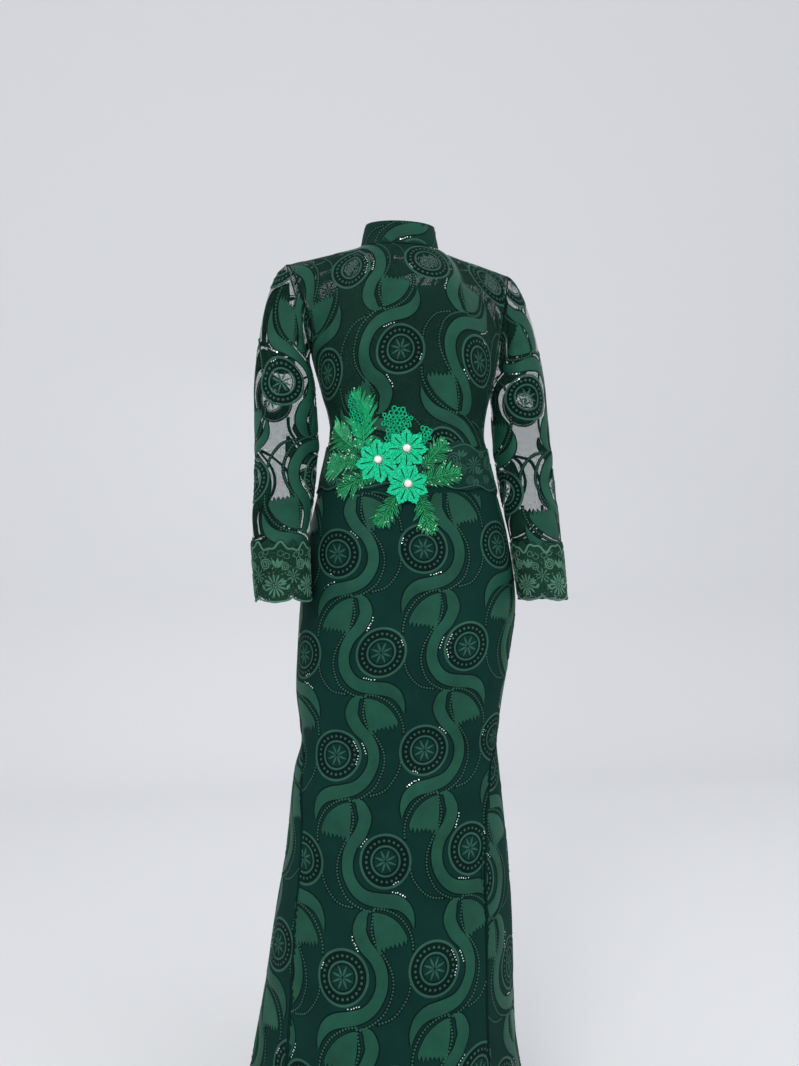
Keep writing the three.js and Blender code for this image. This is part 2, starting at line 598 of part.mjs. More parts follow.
function makeZip() {
  const low = collar(180, ZIP.up - 0.05);
  const high = collar(180, ZIP.up + 0.05);
  const rise = high.clone().sub(low).normalize();
  const tilt = Math.atan2(-rise.y, rise.z);
  const set = new THREE.Group();
  set.position.copy(collar(180, ZIP.up));
  set.rotation.x = tilt;
  gown.add(set);

  const top = ZIP.base + ZIP.plate;
  const roof = 2 * ZIP.axle - top;
  const bridge = [-ZIP.bridgeHalf, ZIP.bridgeHalf];
  const reach = ZIP.bridgeReach;
  const plate = block([-ZIP.halfWidth, ZIP.halfWidth], [ZIP.base, top], [-ZIP.halfLength, ZIP.halfLength]);
  const slider = plate
    .add(block(bridge, [top - 0.2, roof + ZIP.bridgeRoof], [reach - ZIP.post, reach]))
    .add(block(bridge, [top - 0.2, roof + ZIP.bridgeRoof], [-reach, ZIP.post - reach]))
    .add(block(bridge, [roof, roof + ZIP.bridgeRoof], [-reach, reach]));
  set.add(add("zip_slider", geometryOf(slider), COLOURS.zip, 0.4, 0.6));

  const eye = ZIP.tabThick / 2;
  const outline = new THREE.Shape();
  outline.moveTo(-ZIP.eyeHalf - 0.9, eye);
  outline.lineTo(-ZIP.tabHalf, -ZIP.shoulder);
  outline.lineTo(-ZIP.tabHalf, -ZIP.tabLength + ZIP.tabHalf);
  outline.absarc(0, -ZIP.tabLength + ZIP.tabHalf, ZIP.tabHalf, Math.PI, 2 * Math.PI, false);
  outline.lineTo(ZIP.tabHalf, -ZIP.shoulder);
  outline.lineTo(ZIP.eyeHalf + 0.9, eye);
  outline.closePath();
  const slot = new THREE.Path();
  slot.moveTo(-ZIP.eyeHalf, -eye);
  slot.lineTo(ZIP.eyeHalf, -eye);
  slot.lineTo(ZIP.eyeHalf, -ZIP.slotEnd);
  slot.lineTo(-ZIP.eyeHalf, -ZIP.slotEnd);
  slot.closePath();
  outline.holes.push(slot);
  const tab = new THREE.ExtrudeGeometry(outline, { depth: ZIP.tabThick, bevelEnabled: false, curveSegments: 8 });
  tab.translate(0, 0, -ZIP.tabThick / 2).rotateX(Math.PI / 2).translate(0, ZIP.axle, 0);
  set.add(add("zip_pull", tab, COLOURS.zip, 0.4, 0.6));
}

makeBodice();
makeLining();
makeSleeves();
makeCuffs();
makeSkirt();
makeWaistTrim();
makeCollar();
makeCorsage();
makeZip();

export default gown;
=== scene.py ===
"""A green lace gown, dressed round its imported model.

Cloth shells replace the solids, and embroidery, border lace, seam cords and tapes, applique and zip go on them.

Lengths in tables are millimetres in the model's frame: +Z up, the front faces -Y, "left" is the -X side.
Cloth coordinates are millimetres across (u) and up (w) on a piece, and out from it.
"""

import math

import bpy
import numpy as np
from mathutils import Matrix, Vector


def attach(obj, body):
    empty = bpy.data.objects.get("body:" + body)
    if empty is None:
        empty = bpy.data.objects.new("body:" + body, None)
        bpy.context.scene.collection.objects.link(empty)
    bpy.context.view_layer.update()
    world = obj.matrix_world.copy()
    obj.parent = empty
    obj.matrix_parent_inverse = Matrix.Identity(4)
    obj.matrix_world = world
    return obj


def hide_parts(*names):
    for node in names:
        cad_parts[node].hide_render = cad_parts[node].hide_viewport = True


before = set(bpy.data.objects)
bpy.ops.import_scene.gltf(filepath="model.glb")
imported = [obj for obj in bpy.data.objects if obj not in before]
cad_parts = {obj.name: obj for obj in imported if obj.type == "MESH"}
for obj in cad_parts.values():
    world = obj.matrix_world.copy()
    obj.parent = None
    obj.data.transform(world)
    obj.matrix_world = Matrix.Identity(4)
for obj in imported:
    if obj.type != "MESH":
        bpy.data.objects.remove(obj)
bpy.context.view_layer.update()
MM = 0.001


def table(columns, *rows):
    return dict(zip(columns.split(), np.array(rows, float).T))


# ---------------------------------------------------------------- sizes of the garment

WAIST_SEAM, UNDERARM, KNEE, HEM = -378, -180, -800, -1485
NECK = dict(half=66, front=57, back=58, tilt=0.21)
COLLAR_TOP = dict(half=58, front=51, back=50)
COLLAR_HEIGHT = 35
SHOULDER_TIP = dict(x=189, y=8, z=-34)
NECK_SHARE = 0.5
BICEPS, SLEEVE_END = -250, -574
TRIM = dict(top=-343, bottom=-413, wave=5)
CUFF = dict(gap=0.6, low=-578, high=-502, scallops=5, scallop_depth=12, crest=7, radius=42)
CUFF_CHART, TRIM_CHART = (-592, -494), (-420, -336)  # the levels that are stitched
SEAM = 0.3
TRIM_GAP, BORDER = 0.7, 2  # how far out the waist trim lies, and the thickness of border lace
CORSAGE_GAP, LAY, APPLIQUE = 0.95, 0.35, 1.6  # off the panel, between layers, and a layer's thickness
NET_WALL, LINING_WALL, SKIRT_WALL, COLLAR_WALL = 0.8, 1.0, 1.4, 1.4
LINING_DEPTH, LINING_SLACK = 2.4, 1.8  # how far in the lining lies, and how much further at its top

FIGURE = table(
    "z half front back sway",
    (-1485, 229, 212, 245, -22), (-1363, 212, 190, 220, -21), (-1288, 201, 176, 203, -20),
    (-1189, 193, 158, 180, -14), (-1089, 186, 140, 158, -8), (-989, 176, 122, 135, -3),
    (-865, 167, 102, 110, -3), (-815, 160, 98, 102, 1), (-740, 170, 104, 110, 2),
    (-680, 175, 110, 118, 8), (-590, 178, 114, 122, 16), (-480, 164, 109, 116, 15),
    (-420, 150, 103, 109, 14), (-378, 140, 99, 102, 13), (-345, 133, 96, 96, 13),
    (-299, 129, 95, 92, 13), (-235, 145, 103, 96, 11), (-180, 158, 106, 98, 10),
)
SQUARENESS = 0.04
CUP = dict(lift=27, apart=80, level=-188, spread=44, tall=50)
FLUTES = (
    (-52, 9, -12), (52, 9, -12), (-24, 11, 5), (28, 11, 4), (-90, 14, 16), (90, 14, 16),
    (-128, 9, -12), (128, 9, -13), (-156, 10, 8), (155, 10, 7), (180, 8, -7),
)  # angle, width, height
CHEST = table(
    "s offX offY offZ inX inY inZ",
    (0, 0, 10, 170, 0, 95, 95), (0.25, -8, 10, 175, -30, 110, 75), (0.5, -15, 10, 180, -50, 130, 40),
    (0.75, -12, -25, 165, -5, 135, 12), (1, -25, -190, 60, 25, 150, 25),
)
UPPER_BACK = table(
    "s offX offY offZ inX inY inZ",
    (0, 0, 45, 170, 0, -95, 110), (0.25, -5, 40, 170, -30, -100, 90), (0.5, -12, 55, 180, -50, -130, 40),
    (0.75, -10, 60, 165, -5, -135, 12), (1, -20, 200, 60, 25, -160, 25),
)
LINING_TOP = table("s rise", (0, 0.46), (0.45, 0.46), (0.7, 0.36), (1, 0.06))
SLEEVE_LEFT = table(
    "z x y across deep",
    (-600, -189, -80, 40, 41), (-500, -195, -60, 43, 45), (-420, -190, -38, 47.5, 49),
    (-340, -187, -14, 51, 53), (-250, -190, -2, 50, 56),
)
SLEEVE_RIGHT = table(
    "z x y across deep",
    (-600, 226, -66, 36.5, 40), (-500, 220, -48, 40, 44), (-420, 212, -30, 45, 48),
    (-340, 208, -12, 48, 52), (-250, 204, -2, 46, 56),
)
SLEEVE_HEAD = table(
    "turn x y z",
    (0, 22, 0, -62), (0.25, 70, -30, -75), (0.5, 122, 0, -62), (0.75, 70, 34, -75), (1, 22, 0, -62),
)
SLEEVE_FOLDS = (
    (-322, 0.2, 7, 0.13, -2.6), (-345, 0.24, 8, 0.15, 2.4), (-370, 0.15, 8, 0.12, -2.8),
    (-352, 0.7, 10, 0.12, 2.2), (-445, 0.4, 12, 0.16, 1.8),
)  # level, turn, tall, wide, height
SEAMS = table(
    "z left right back",
    (-1485, -50, 42, 134), (-1189, -56, 40, 130), (-1015, -61, 42, 128), (-930, -63, 46, 124),
    (-845, -68, 56, 116), (-800, -89, 89, 91), (-794, -90, 90, 90), (-378, -90, 90, 90),
)


# ---------------------------------------------------------------- the garment's surfaces


def bell(distance):
    return np.exp(-0.5 * distance**2)


def hermite(start, leave, end, arrive, t):
    u = t * t * (3 - 2 * t)
    return start * (1 - u) + end * u + t * (1 - t) * (leave * (1 - t) - arrive * t)


def along(rows, by, column, place):
    """The value of a table's column at a place, on a smooth curve through its rows."""
    keys, values = rows[by], rows[column]
    last = len(keys) - 1
    p = np.clip(place, keys[0], keys[-1])
    i = np.searchsorted(keys[1:-1], p, side="left")

    def slope(a, b):
        return (values[b] - values[a]) / (keys[b] - keys[a])

    span = keys[i + 1] - keys[i]
    leave = slope(np.maximum(i - 1, 0), i + 1) * span
    arrive = slope(i, np.minimum(i + 2, last)) * span
    return hermite(values[i], leave, values[i + 1], arrive, (p - keys[i]) / span)


def point(*axes):
    return np.stack(np.broadcast_arrays(*axes), axis=-1).astype(float)


def unit(vectors):
    return vectors / np.linalg.norm(vectors, axis=-1, keepdims=True)


def walked(path):
    """How far along a path each of its points lies."""
    return np.append(0, np.cumsum(np.linalg.norm(np.diff(path, axis=0), axis=1)))


def direction(turn):
    return np.array((math.cos(turn), math.sin(turn)))


def ridge(top, foot=0.1):
    """The section of a thread: pairs of side and height."""
    return (-1, foot), (0, top), (1, foot)


def figure(angle, z):
    """A point of the gown below the underarm, at an angle in degrees from the front and a level."""
    turn = np.radians(angle)
    opening = np.maximum(0, (KNEE - z) / (KNEE - HEM)) ** 1.5
    flute = 0
    for middle, width, height in FLUTES:
        away = (angle - middle + 540) % 360 - 180
        flute = flute + height * bell(away / width) * opening
    fuller = 1 + SQUARENESS * np.sin(2 * turn) ** 2
    facing = np.cos(turn)
    depth = np.where(facing > 0, along(FIGURE, "z", "front", z), along(FIGURE, "z", "back", z)) + flute
    across = (along(FIGURE, "z", "half", z) + flute) * np.sin(turn) * fuller
    cups = bell((across - CUP["apart"]) / CUP["spread"]) + bell((across + CUP["apart"]) / CUP["spread"])
    lift = CUP["lift"] * np.maximum(0, facing) * cups * bell((z - CUP["level"]) / CUP["tall"])
    return point(along(FIGURE, "z", "sway", z) + across, -depth * facing * fuller - lift, z)


def neck_base(angle):
    turn = np.radians(angle)
    y = -np.where(np.cos(turn) > 0, NECK["front"], NECK["back"]) * np.cos(turn)
    return point(NECK["half"] * np.sin(turn), y, y * NECK["tilt"])


def upper_edge(facing, s):
    """A point of the upper edge of the front (facing 1) or of the back (facing -1)."""
    share = np.abs(s) / NECK_SHARE
    angle = 90 * np.minimum(share, 1) * np.sign(s)
    ring = neck_base(angle if facing > 0 else 180 - angle)
    k = np.maximum(0, (np.abs(s) - NECK_SHARE) / (1 - NECK_SHARE))
    x = NECK["half"] + (SHOULDER_TIP["x"] - NECK["half"]) * k
    seam = point(np.sign(s) * x, SHOULDER_TIP["y"] * k, SHOULDER_TIP["z"] * k**0.9)
    return np.where((share <= 1)[..., None], ring, seam)


def bodice(facing, s, v):
    """A point of the front (facing 1) or the back (facing -1).

    s runs from the middle (0) to a side (1 right, -1 left), v from the waist (-1) by the underarm (0) to the neck.
    """
    s, v = np.broadcast_arrays(np.asarray(s, float), np.asarray(v, float))
    angle = 90 * s if facing > 0 else 180 - 90 * s
    below = figure(angle, UNDERARM + np.minimum(v, 0) * (UNDERARM - WAIST_SEAM))
    rows = CHEST if facing > 0 else UPPER_BACK
    side = np.where(s < 0, -1, 1)
    start, end = figure(angle, UNDERARM + 0 * s), upper_edge(facing, s)
    parts = []
    for k, axis in enumerate("XYZ"):
        sign = side if axis == "X" else 1
        off = sign * along(rows, "s", "off" + axis, np.abs(s))
        arrive = sign * along(rows, "s", "in" + axis, np.abs(s))
        parts.append(hermite(start[..., k], off, end[..., k], arrive, v))
    return np.where((v <= 0)[..., None], below, point(*parts))


def sleeve_ring(side, turn, z, out=0.0):
    """turn 0 faces the body, 0.25 the front and 0.5 away from the body."""
    rows = SLEEVE_RIGHT if side > 0 else SLEEVE_LEFT
    fold = out
    for level, middle, tall, wide, height in SLEEVE_FOLDS:
        away = (turn - middle + 1.5) % 1 - 0.5
        fold = fold + height * bell(away / wide) * bell((z - level) / tall)
    a = 2 * np.pi * turn
    x = along(rows, "z", "x", z) - side * (along(rows, "z", "across", z) + fold) * np.cos(a)
    return point(x, along(rows, "z", "y", z) - (along(rows, "z", "deep", z) + fold) * np.sin(a), z)


def sleeve(side, turn, v):
    """v runs from the sleeve's end (-1) by the biceps (0) to the armhole (1)."""
    turn, v = np.broadcast_arrays(np.asarray(turn, float), np.asarray(v, float))
    below = sleeve_ring(side, turn, BICEPS + np.minimum(v, 0) * (BICEPS - SLEEVE_END))
    round_ = turn % 1
    front = bodice_edge(1, side, np.minimum(2 * round_, 1))
    back = bodice_edge(-1, side, np.minimum(2 - 2 * round_, 1))
    hole = np.where((round_ <= 0.5)[..., None], front, back)
    hole = hole + point(side * 2 * SEAM, 0, 0)
    ring = sleeve_ring(side, turn, BICEPS + 0 * v)
    x, y, z = (along(SLEEVE_HEAD, "turn", axis, round_) for axis in "xyz")
    above = point(
        hermite(ring[..., 0], 0, hole[..., 0], -side * x, v),
        hermite(ring[..., 1], 0, hole[..., 1], -y, v),
        hermite(ring[..., 2], 90, hole[..., 2], -z, v),
    )
    return np.where((v <= 0)[..., None], below, above)


def bodice_edge(facing, side, v):
    """A point of the armhole, from the underarm (0) to the shoulder (1)."""
    return bodice(facing, side + 0 * v, v)


def collar(angle, v):
    turn = np.radians(angle)
    front = np.cos(turn) > 0
    half = NECK["half"] + (COLLAR_TOP["half"] - NECK["half"]) * v
    low = np.where(front, NECK["front"], NECK["back"])
    depth = low + (np.where(front, COLLAR_TOP["front"], COLLAR_TOP["back"]) - low) * v
    y = -depth * np.cos(turn) - COLLAR_HEIGHT * v * NECK["tilt"]
    z = -depth * np.cos(turn) * NECK["tilt"] + COLLAR_HEIGHT * v + 2 * SEAM
    return point(half * np.sin(turn), y, z)


def normals(points):
    """Outward directions of a grid of points."""
    found = unit(np.cross(np.gradient(points, axis=1), np.gradient(points, axis=0)))
    away = points - points.mean(axis=1, keepdims=True)
    return found if (found * away).sum() > 0 else -found


def sample(grid, row, column):
    """A grid's values at fractional places."""
    r = np.clip(row, 0, grid.shape[0] - 1.0001)
    c = np.clip(column, 0, grid.shape[1] - 1.0001)
    i, j = r.astype(int), c.astype(int)
    fr, fc = r - i, c - j
    if grid.ndim == 3:
        fr, fc = fr[:, None], fc[:, None]
    low = grid[i, j] * (1 - fc) + grid[i, j + 1] * fc
    high = grid[i + 1, j] * (1 - fc) + grid[i + 1, j + 1] * fc
    return low * (1 - fr) + high * fr


class Chart:
    """A piece's surface with cloth coordinates: u from a middle line, w up from a start."""

    STEP = 2.0

    def __init__(self, surface, columns, rows, zero, start, creases=()):
        b, a = np.meshgrid(rows, columns, indexing="ij")
        flat = surface(a, b)
        walk = np.cumsum(np.linalg.norm(np.diff(flat, axis=1), axis=2), axis=1)
        walk = np.concatenate([np.zeros((len(rows), 1)), walk], axis=1)
        middle = [np.interp(zero(level), columns, walk[j]) for j, level in enumerate(rows)]
        self.across = walk - np.array(middle)[:, None]
        spine = np.array([surface(np.array([zero(level)]), np.array([level]))[0] for level in rows])
        self.up = start + walked(spine)
        relief = crease_relief(creases, self.across, self.up[:, None])
        self.points = flat + normals(flat) * relief[..., None]
        self.normals = normals(self.points)
        self.left = self.across.min()
        reach = np.arange(self.left, self.across.max() + self.STEP, self.STEP)
        places = np.arange(len(columns))
        self.inverse = np.array([np.interp(reach, row, places) for row in self.across])

    def place(self, u, w, out):
        row = np.interp(w, self.up, np.arange(len(self.up)))
        column = sample(self.inverse, row, (u - self.left) / self.STEP)
        found = sample(self.points, row, column)
        return (found + sample(self.normals, row, column) * out[:, None]) * MM

    def inside(self, u, w, margin=0.4):
        low = np.interp(w, self.up, self.across[:, 0]) + margin
        high = np.interp(w, self.up, self.across[:, -1]) - margin
        return (u > low) & (u < high) & (w > self.up[0] + margin) & (w < self.up[-1] - margin)


def crease_relief(creases, u, w):
    """Soft troughs and ridges: middle u and w, heading in degrees, length, width and height."""
    relief = 0 * (u + w)
    for cu, cw, heading, length, width, height in creases:
        turn = math.radians(heading)
        far = (u - cu) * math.cos(turn) + (w - cw) * math.sin(turn)
        bend = 0.12 * length * (far / length) ** 2
        off = (w - cw) * math.cos(turn) - (u - cu) * math.sin(turn) - bend
        relief = relief + height * bell(far / (0.42 * length)) * bell(off / (0.5 * width))
    return relief


# ---------------------------------------------------------------- meshes


def grid_faces(rows, columns, closed=False):
    """Quads of a grid of points; a closed one joins its last column to its first."""
    wide = columns if closed else columns - 1
    j, i = np.meshgrid(np.arange(rows - 1), np.arange(wide), indexing="ij")
    a, b = j * columns + i, j * columns + (i + 1) % columns
    return np.stack([a, b, b + columns, a + columns], axis=-1).reshape(-1, 4)


def new_object(name, points, faces, kinds, uv, materials, sharp=50):
    """A mesh from arrays. Each face has four corners; a triangle's fourth is -1. uv is in metres of cloth."""
    used = np.unique(faces[faces >= 0])
    renumber = np.full(len(points) + 1, -1)
    renumber[used] = np.arange(len(used))
    faces = renumber[faces]
    points, uv = points[used], uv[used]
    corners = faces >= 0
    loops = faces[corners]
    starts = np.concatenate([[0], np.cumsum(corners.sum(axis=1))[:-1]])
    mesh = bpy.data.meshes.new(name)
    mesh.vertices.add(len(points))
    mesh.vertices.foreach_set("co", points.astype(np.float32).ravel())
    mesh.loops.add(len(loops))
    mesh.loops.foreach_set("vertex_index", loops.astype(np.int32))
    mesh.polygons.add(len(faces))
    mesh.polygons.foreach_set("loop_start", starts.astype(np.int32))
    mesh.polygons.foreach_set("material_index", np.asarray(kinds, np.int32))
    mesh.polygons.foreach_set("use_smooth", np.ones(len(faces), bool))
    layer = mesh.uv_layers.new(name="cloth")
    layer.data.foreach_set("uv", uv[loops].astype(np.float32).ravel())
    for material in materials:
        mesh.materials.append(material)
    mesh.update(calc_edges=True)
    mesh.validate()
    mesh.set_sharp_from_angle(angle=math.radians(sharp))
    made = bpy.data.objects.new(name, mesh)
    bpy.context.scene.collection.objects.link(made)
    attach(made, "gown")
    return made


def wall(name, outer, inner, uv, material, tube=False):
    """A closed shell between two grids of points in metres."""
    if tube:
        outer, inner, uv = outer[:, :-1], inner[:, :-1], uv[:, :-1]
    rows, columns = outer.shape[:2]
    faces = grid_faces(rows, columns, tube)
    count = rows * columns
    place = np.arange(count).reshape(rows, columns)
    wide = columns if tube else columns - 1
    i = np.arange(wide)
    n = (i + 1) % columns
    low = np.stack([place[0, n], place[0, i], place[0, i] + count, place[0, n] + count], axis=-1)
    high = np.stack([place[-1, i], place[-1, n], place[-1, n] + count, place[-1, i] + count], axis=-1)
    sets = [faces, faces[:, ::-1] + count, low, high]
    if not tube:
        j = np.arange(rows - 1)
        for column, step in ((0, 0), (columns - 1, 1)):
            a, b = place[j + step, column], place[j + 1 - step, column]
            sets.append(np.stack([a, b, b + count, a + count], axis=-1))
    faces = np.concatenate(sets)
    points = np.concatenate([outer.reshape(-1, 3), inner.reshape(-1, 3)])
    middle = (rows // 2) * columns + columns // 3
    a, b, c = points[middle], points[middle + 1], points[middle + columns]
    if np.dot(np.cross(b - a, c - a), a - points[middle + count]) < 0:
        faces = faces[:, ::-1]
    flat = np.concatenate([uv.reshape(-1, 2)] * 2)
    return new_object(name, points, faces, np.zeros(len(faces)), flat, [material])


def shell(name, chart, thickness, material, tube=False):
    """A piece of cloth on its chart."""
    inner = chart.points - chart.normals * thickness
    return wall(name, chart.points * MM, inner * MM, point(chart.across, chart.up[:, None]) * MM, material, tube)


SATIN, THREAD, DARK, SEQUIN = range(4)


def spun(points, heading):
    """Points turned by some degrees in the cloth."""
    c, s = direction(math.radians(heading))
    u, w, out = points.T
    return point(u * c - w * s, u * s + w * c, out)


class Stitching:
    """Faces drawn in cloth millimetres (across, up, out), each with the number of its material."""

    def __init__(self):
        self.points, self.faces, self.kinds, self.uv, self.count = [], [], [], [], 0

    def add(self, points, faces, kind, uv=None):
        points = np.asarray(points, float)
        self.faces.append(np.where(faces >= 0, faces + self.count, -1))
        self.kinds.append(np.broadcast_to(kind, len(faces)))
        self.points.append(points)
        self.uv.append(points[:, :2] if uv is None else uv)
        self.count += len(points)

    def arrays(self):
        return [np.concatenate(part) for part in (self.points, self.faces, self.kinds, self.uv)]

    def copy(self, unit, u=0.0, w=0.0, heading=0.0, mirrored=False):
        points, faces, kinds, uv = unit
        if mirrored:
            points = points * (-1, 1, 1)
            faces = np.where(faces[:, 3:] >= 0, faces[:, ::-1], np.roll(faces[:, ::-1], -1, axis=1))
        self.add(spun(points, heading) + (u, w, 0), faces, kinds, uv)

    def grid(self, u, w, out, kind, uv=None, closed=False):
        """A grid of points, given as three arrays."""
        points = point(u, w, out)
        rows, columns = points.shape[:2]
        flat = None if uv is None else uv.reshape(-1, 2)
        self.add(points.reshape(-1, 3), grid_faces(rows, columns, closed), kind, flat)

    def band(self, path, halves, section, kind, closed=False):
        """A strip along a path; its section is pairs of side (-1 to 1) and height."""
        path = np.asarray(path, float)
        if closed:
            step = np.roll(path, -1, axis=0) - np.roll(path, 1, axis=0)
        else:
            step = np.gradient(path, axis=0)
        step = unit(step)
        side, height = np.array(section, float).T
        off = np.asarray(halves)[..., None] * side
        u = path[:, :1] - step[:, 1:] * off
        w = path[:, 1:] + step[:, :1] * off
        uv = point(walked(path)[:, None], off)
        u, w, out = (x.T for x in np.broadcast_arrays(u, w, height))
        self.grid(u[::-1], w[::-1], out[::-1], kind, uv.transpose(1, 0, 2)[::-1], closed)

    def domes(self, centres, radius, height, kind, base=0.05):
        """Small round beads or knots."""
        centres = np.asarray(centres, float).reshape(-1, 2)
        sides = 6
        a = np.arange(sides) * 2 * np.pi / sides
        ring = point(np.cos(a), np.sin(a), 0)
        low = ring * radius + (0, 0, base)
        high = ring * 0.68 * radius + (0, 0, base + 0.74 * (height - base))
        shape = np.concatenate([low, high, [[0, 0, height]]])
        i = np.arange(sides)
        n = (i + 1) % sides
        quads = np.stack([i, n, n + sides, i + sides], axis=-1)
        caps = np.stack([i + sides, n + sides, 0 * i + 2 * sides, 0 * i - 1], axis=-1)
        one = np.concatenate([quads, caps])
        shift = np.arange(len(centres))[:, None, None] * len(shape)
        faces = np.where(one[None] >= 0, one[None] + shift, -1).reshape(-1, 4)
        self.add((shape[None] + point(*centres.T, 0)[:, None]).reshape(-1, 3), faces, kind)

    def sequins(self, centres, radius, out, random):
        """Small flat six-sided discs, each a little tilted."""
        centres = np.asarray(centres, float).reshape(-1, 2)
        a = np.arange(6) * np.pi / 3
        ring = point(np.cos(a), np.sin(a)) * radius
        tilt = random.uniform(-0.28, 0.28, (len(centres), 2))
        height = np.maximum(out + 0.3 + tilt @ ring.T, out)[..., None]
        points = np.concatenate([centres[:, None] + ring[None], height], axis=2).reshape(-1, 3)
        one = np.array([[0, 1, 2, 3], [0, 3, 4, 5]])
        self.add(points, (one[None] + np.arange(len(centres))[:, None, None] * 6).reshape(-1, 4), SEQUIN)

    def on(self, chart, name, materials, skip=None, margin=0.4):
        """Lays the work on a chart, without what falls past its edges or in the skipped heights."""
        points, faces, kinds, uv = self.arrays()
        u, w, out = points.T
        fine = chart.inside(u, w, margin)
        if skip:
            fine &= (w < skip[0]) | (w > skip[1])
        fine = np.append(fine, True)  # for the missing corner of triangles
        kept = fine[faces].all(axis=1)
        placed = chart.place(u, w, out)
        return new_object(name, placed, faces[kept], kinds[kept], uv * MM, materials)


def seam_tape(name, path, outward, wide, thick, depth, material, slot):
    """A closed strip along a seam, given by points and outward directions; wide and thick are halves of its sizes."""
    step = unit(np.gradient(path, axis=0))
    outward = unit(outward - (outward * step).sum(axis=1, keepdims=True) * step)
    across = np.cross(outward, step)
    sides = 8
    a = np.arange(sides)[:, None] * 2 * np.pi / sides
    middle = (path - outward * depth)[:, None]
    ring = middle + across[:, None] * np.cos(a) * wide + outward[:, None] * np.sin(a) * thick
    faces = grid_faces(len(path), sides, closed=True)
    cap = np.array([[3, 2, 1, 0], [7, 4, 3, 0], [7, 6, 5, 4]])
    faces = np.concatenate([faces, cap, cap[:, ::-1] + (len(path) - 1) * sides])
    points = ring.reshape(-1, 3)
    corner = points[faces[0]]
    if np.dot(np.cross(corner[1] - corner[0], corner[3] - corner[0]), corner.mean(axis=0) - middle[0, 0]) < 0:
        faces = faces[:, ::-1]
    uv = point(a.T * wide / np.pi, walked(path)[:, None]).reshape(-1, 2)
    made = new_object(name, points * MM, faces, np.zeros(len(faces)), uv * MM, [material])
    return made


def curve(rows, count):
    """A smooth curve through rows of numbers."""
    rows = np.array(rows, float)
    keyed = {"k": np.arange(len(rows), dtype=float)}
    keyed.update({str(i): column for i, column in enumerate(rows.T)})
    k = np.linspace(0, len(rows) - 1, count)
    return np.stack([along(keyed, "k", str(i), k) for i in range(rows.shape[1])], axis=-1)


def spaced(path, pitch):
    """Points at an even distance along a path."""
    lengths = walked(path)
    at = np.arange(0, lengths[-1], lengths[-1] / max(1, round(lengths[-1] / pitch)))
    return np.stack([np.interp(at, lengths, path[:, k]) for k in (0, 1)], axis=-1)


def circle(radius, count, u=0.0, w=0.0, start=0.0):
    a = start + np.arange(count) * 2 * np.pi / count
    return point(u + radius * np.cos(a), w + radius * np.sin(a))


# ---------------------------------------------------------------- materials


def srgb(r, g, b):
    return tuple((c / 255 / 12.92) if c < 11 else ((c / 255 + 0.055) / 1.055) ** 2.4 for c in (r, g, b)) + (1.0,)


def feed(tree, made, inputs):
    """Links or sets a node's inputs."""
    for key, value in inputs.items():
        if isinstance(value, bpy.types.NodeSocket):
            tree.links.new(value, made.inputs[key])
        else:
            made.inputs[key].default_value = value


def node(tree, kind, inputs, result=0, **settings):
    """Adds a node and returns one of its outputs."""
    made = tree.nodes.new("ShaderNode" + kind)
    for key, value in settings.items():
        setattr(made, key, value)
    feed(tree, made, inputs)
    return made.outputs[result]


def new_material(name):
    material = bpy.data.materials.new(name)
    material.use_nodes = True
    return material, material.node_tree, material.node_tree.nodes["Principled BSDF"]


def blended(tree, share, a, b):
    return node(tree, "Mix", {"Factor": share, "A": a, "B": b}, "Result", data_type="FLOAT")


def two_tones(tree, share, low, high, spread):
    tone = node(tree, "ValToRGB", {"Fac": share}, "Color")
    for element, place, colour in zip(tone.node.color_ramp.elements, (0.5 - spread, 0.5 + spread), (low, high)):
        element.position, element.color = place, srgb(*colour)
    return tone


def weave_height(tree, period, share):
    """Height of threads in both directions of the cloth, from its uv map."""
    uv = node(tree, "UVMap", {}, uv_map="cloth")
    waves = {"Vector": uv, "Scale": 2 * math.pi / (20 * period * MM), "Distortion": 0.6, "Detail": 1.0}
    across, up = (node(tree, "TexWave", waves, "Fac", wave_type="BANDS", bands_direction=axis) for axis in "XY")
    return blended(tree, share, across, up)


def fabric(name, low, high, roughness, sheen=0.04, period=0.9, share=0.5, bump=0.25, mottle=14.0,
           sheen_tint=(120, 200, 170), specular=0.08, holes=None, spread=0.16):
    """Cloth or thread: colour mottled between two tones, threads as bump; holes makes it a sheer net.

    period is the thread's pitch and holes the net's cell, in mm, with the share of thread; share is how much of
    the weave runs up.
    """
    material, tree, shader = new_material(name)
    place = node(tree, "TexCoord", {}, "Object")
    broad = node(tree, "TexNoise", {"Vector": place, "Scale": mottle, "Detail": 5.0, "Roughness": 0.6}, "Fac")
    fine = node(tree, "TexNoise", {"Vector": place, "Scale": 900.0, "Detail": 2.0}, "Fac")
    colour = two_tones(tree, blended(tree, 0.35, broad, fine), low, high, spread)
    rough = {"Value": fine, "To Min": roughness - 0.08, "To Max": roughness + 0.08}
    feed(tree, shader, {
        "Base Color": colour, "Roughness": node(tree, "MapRange", rough),
        "Sheen Weight": sheen, "Sheen Roughness": 0.45, "Sheen Tint": srgb(*sheen_tint),
        "Specular IOR Level": specular,
        "Normal": node(tree, "Bump", {"Height": weave_height(tree, period, share), "Strength": bump,
                                      "Distance": 0.0003}),
    })
    if holes:
        cell, thread = holes
        net = node(tree, "TexVoronoi", {"Vector": place, "Scale": 1 / (cell * MM)}, "Distance",
                   feature="DISTANCE_TO_EDGE")
        shares = {"Value": net, "From Min": thread, "From Max": thread + 0.05, "To Min": 1.0, "To Max": 0.0}
        feed(tree, shader, {"Alpha": node(tree, "MapRange", shares)})
    return material


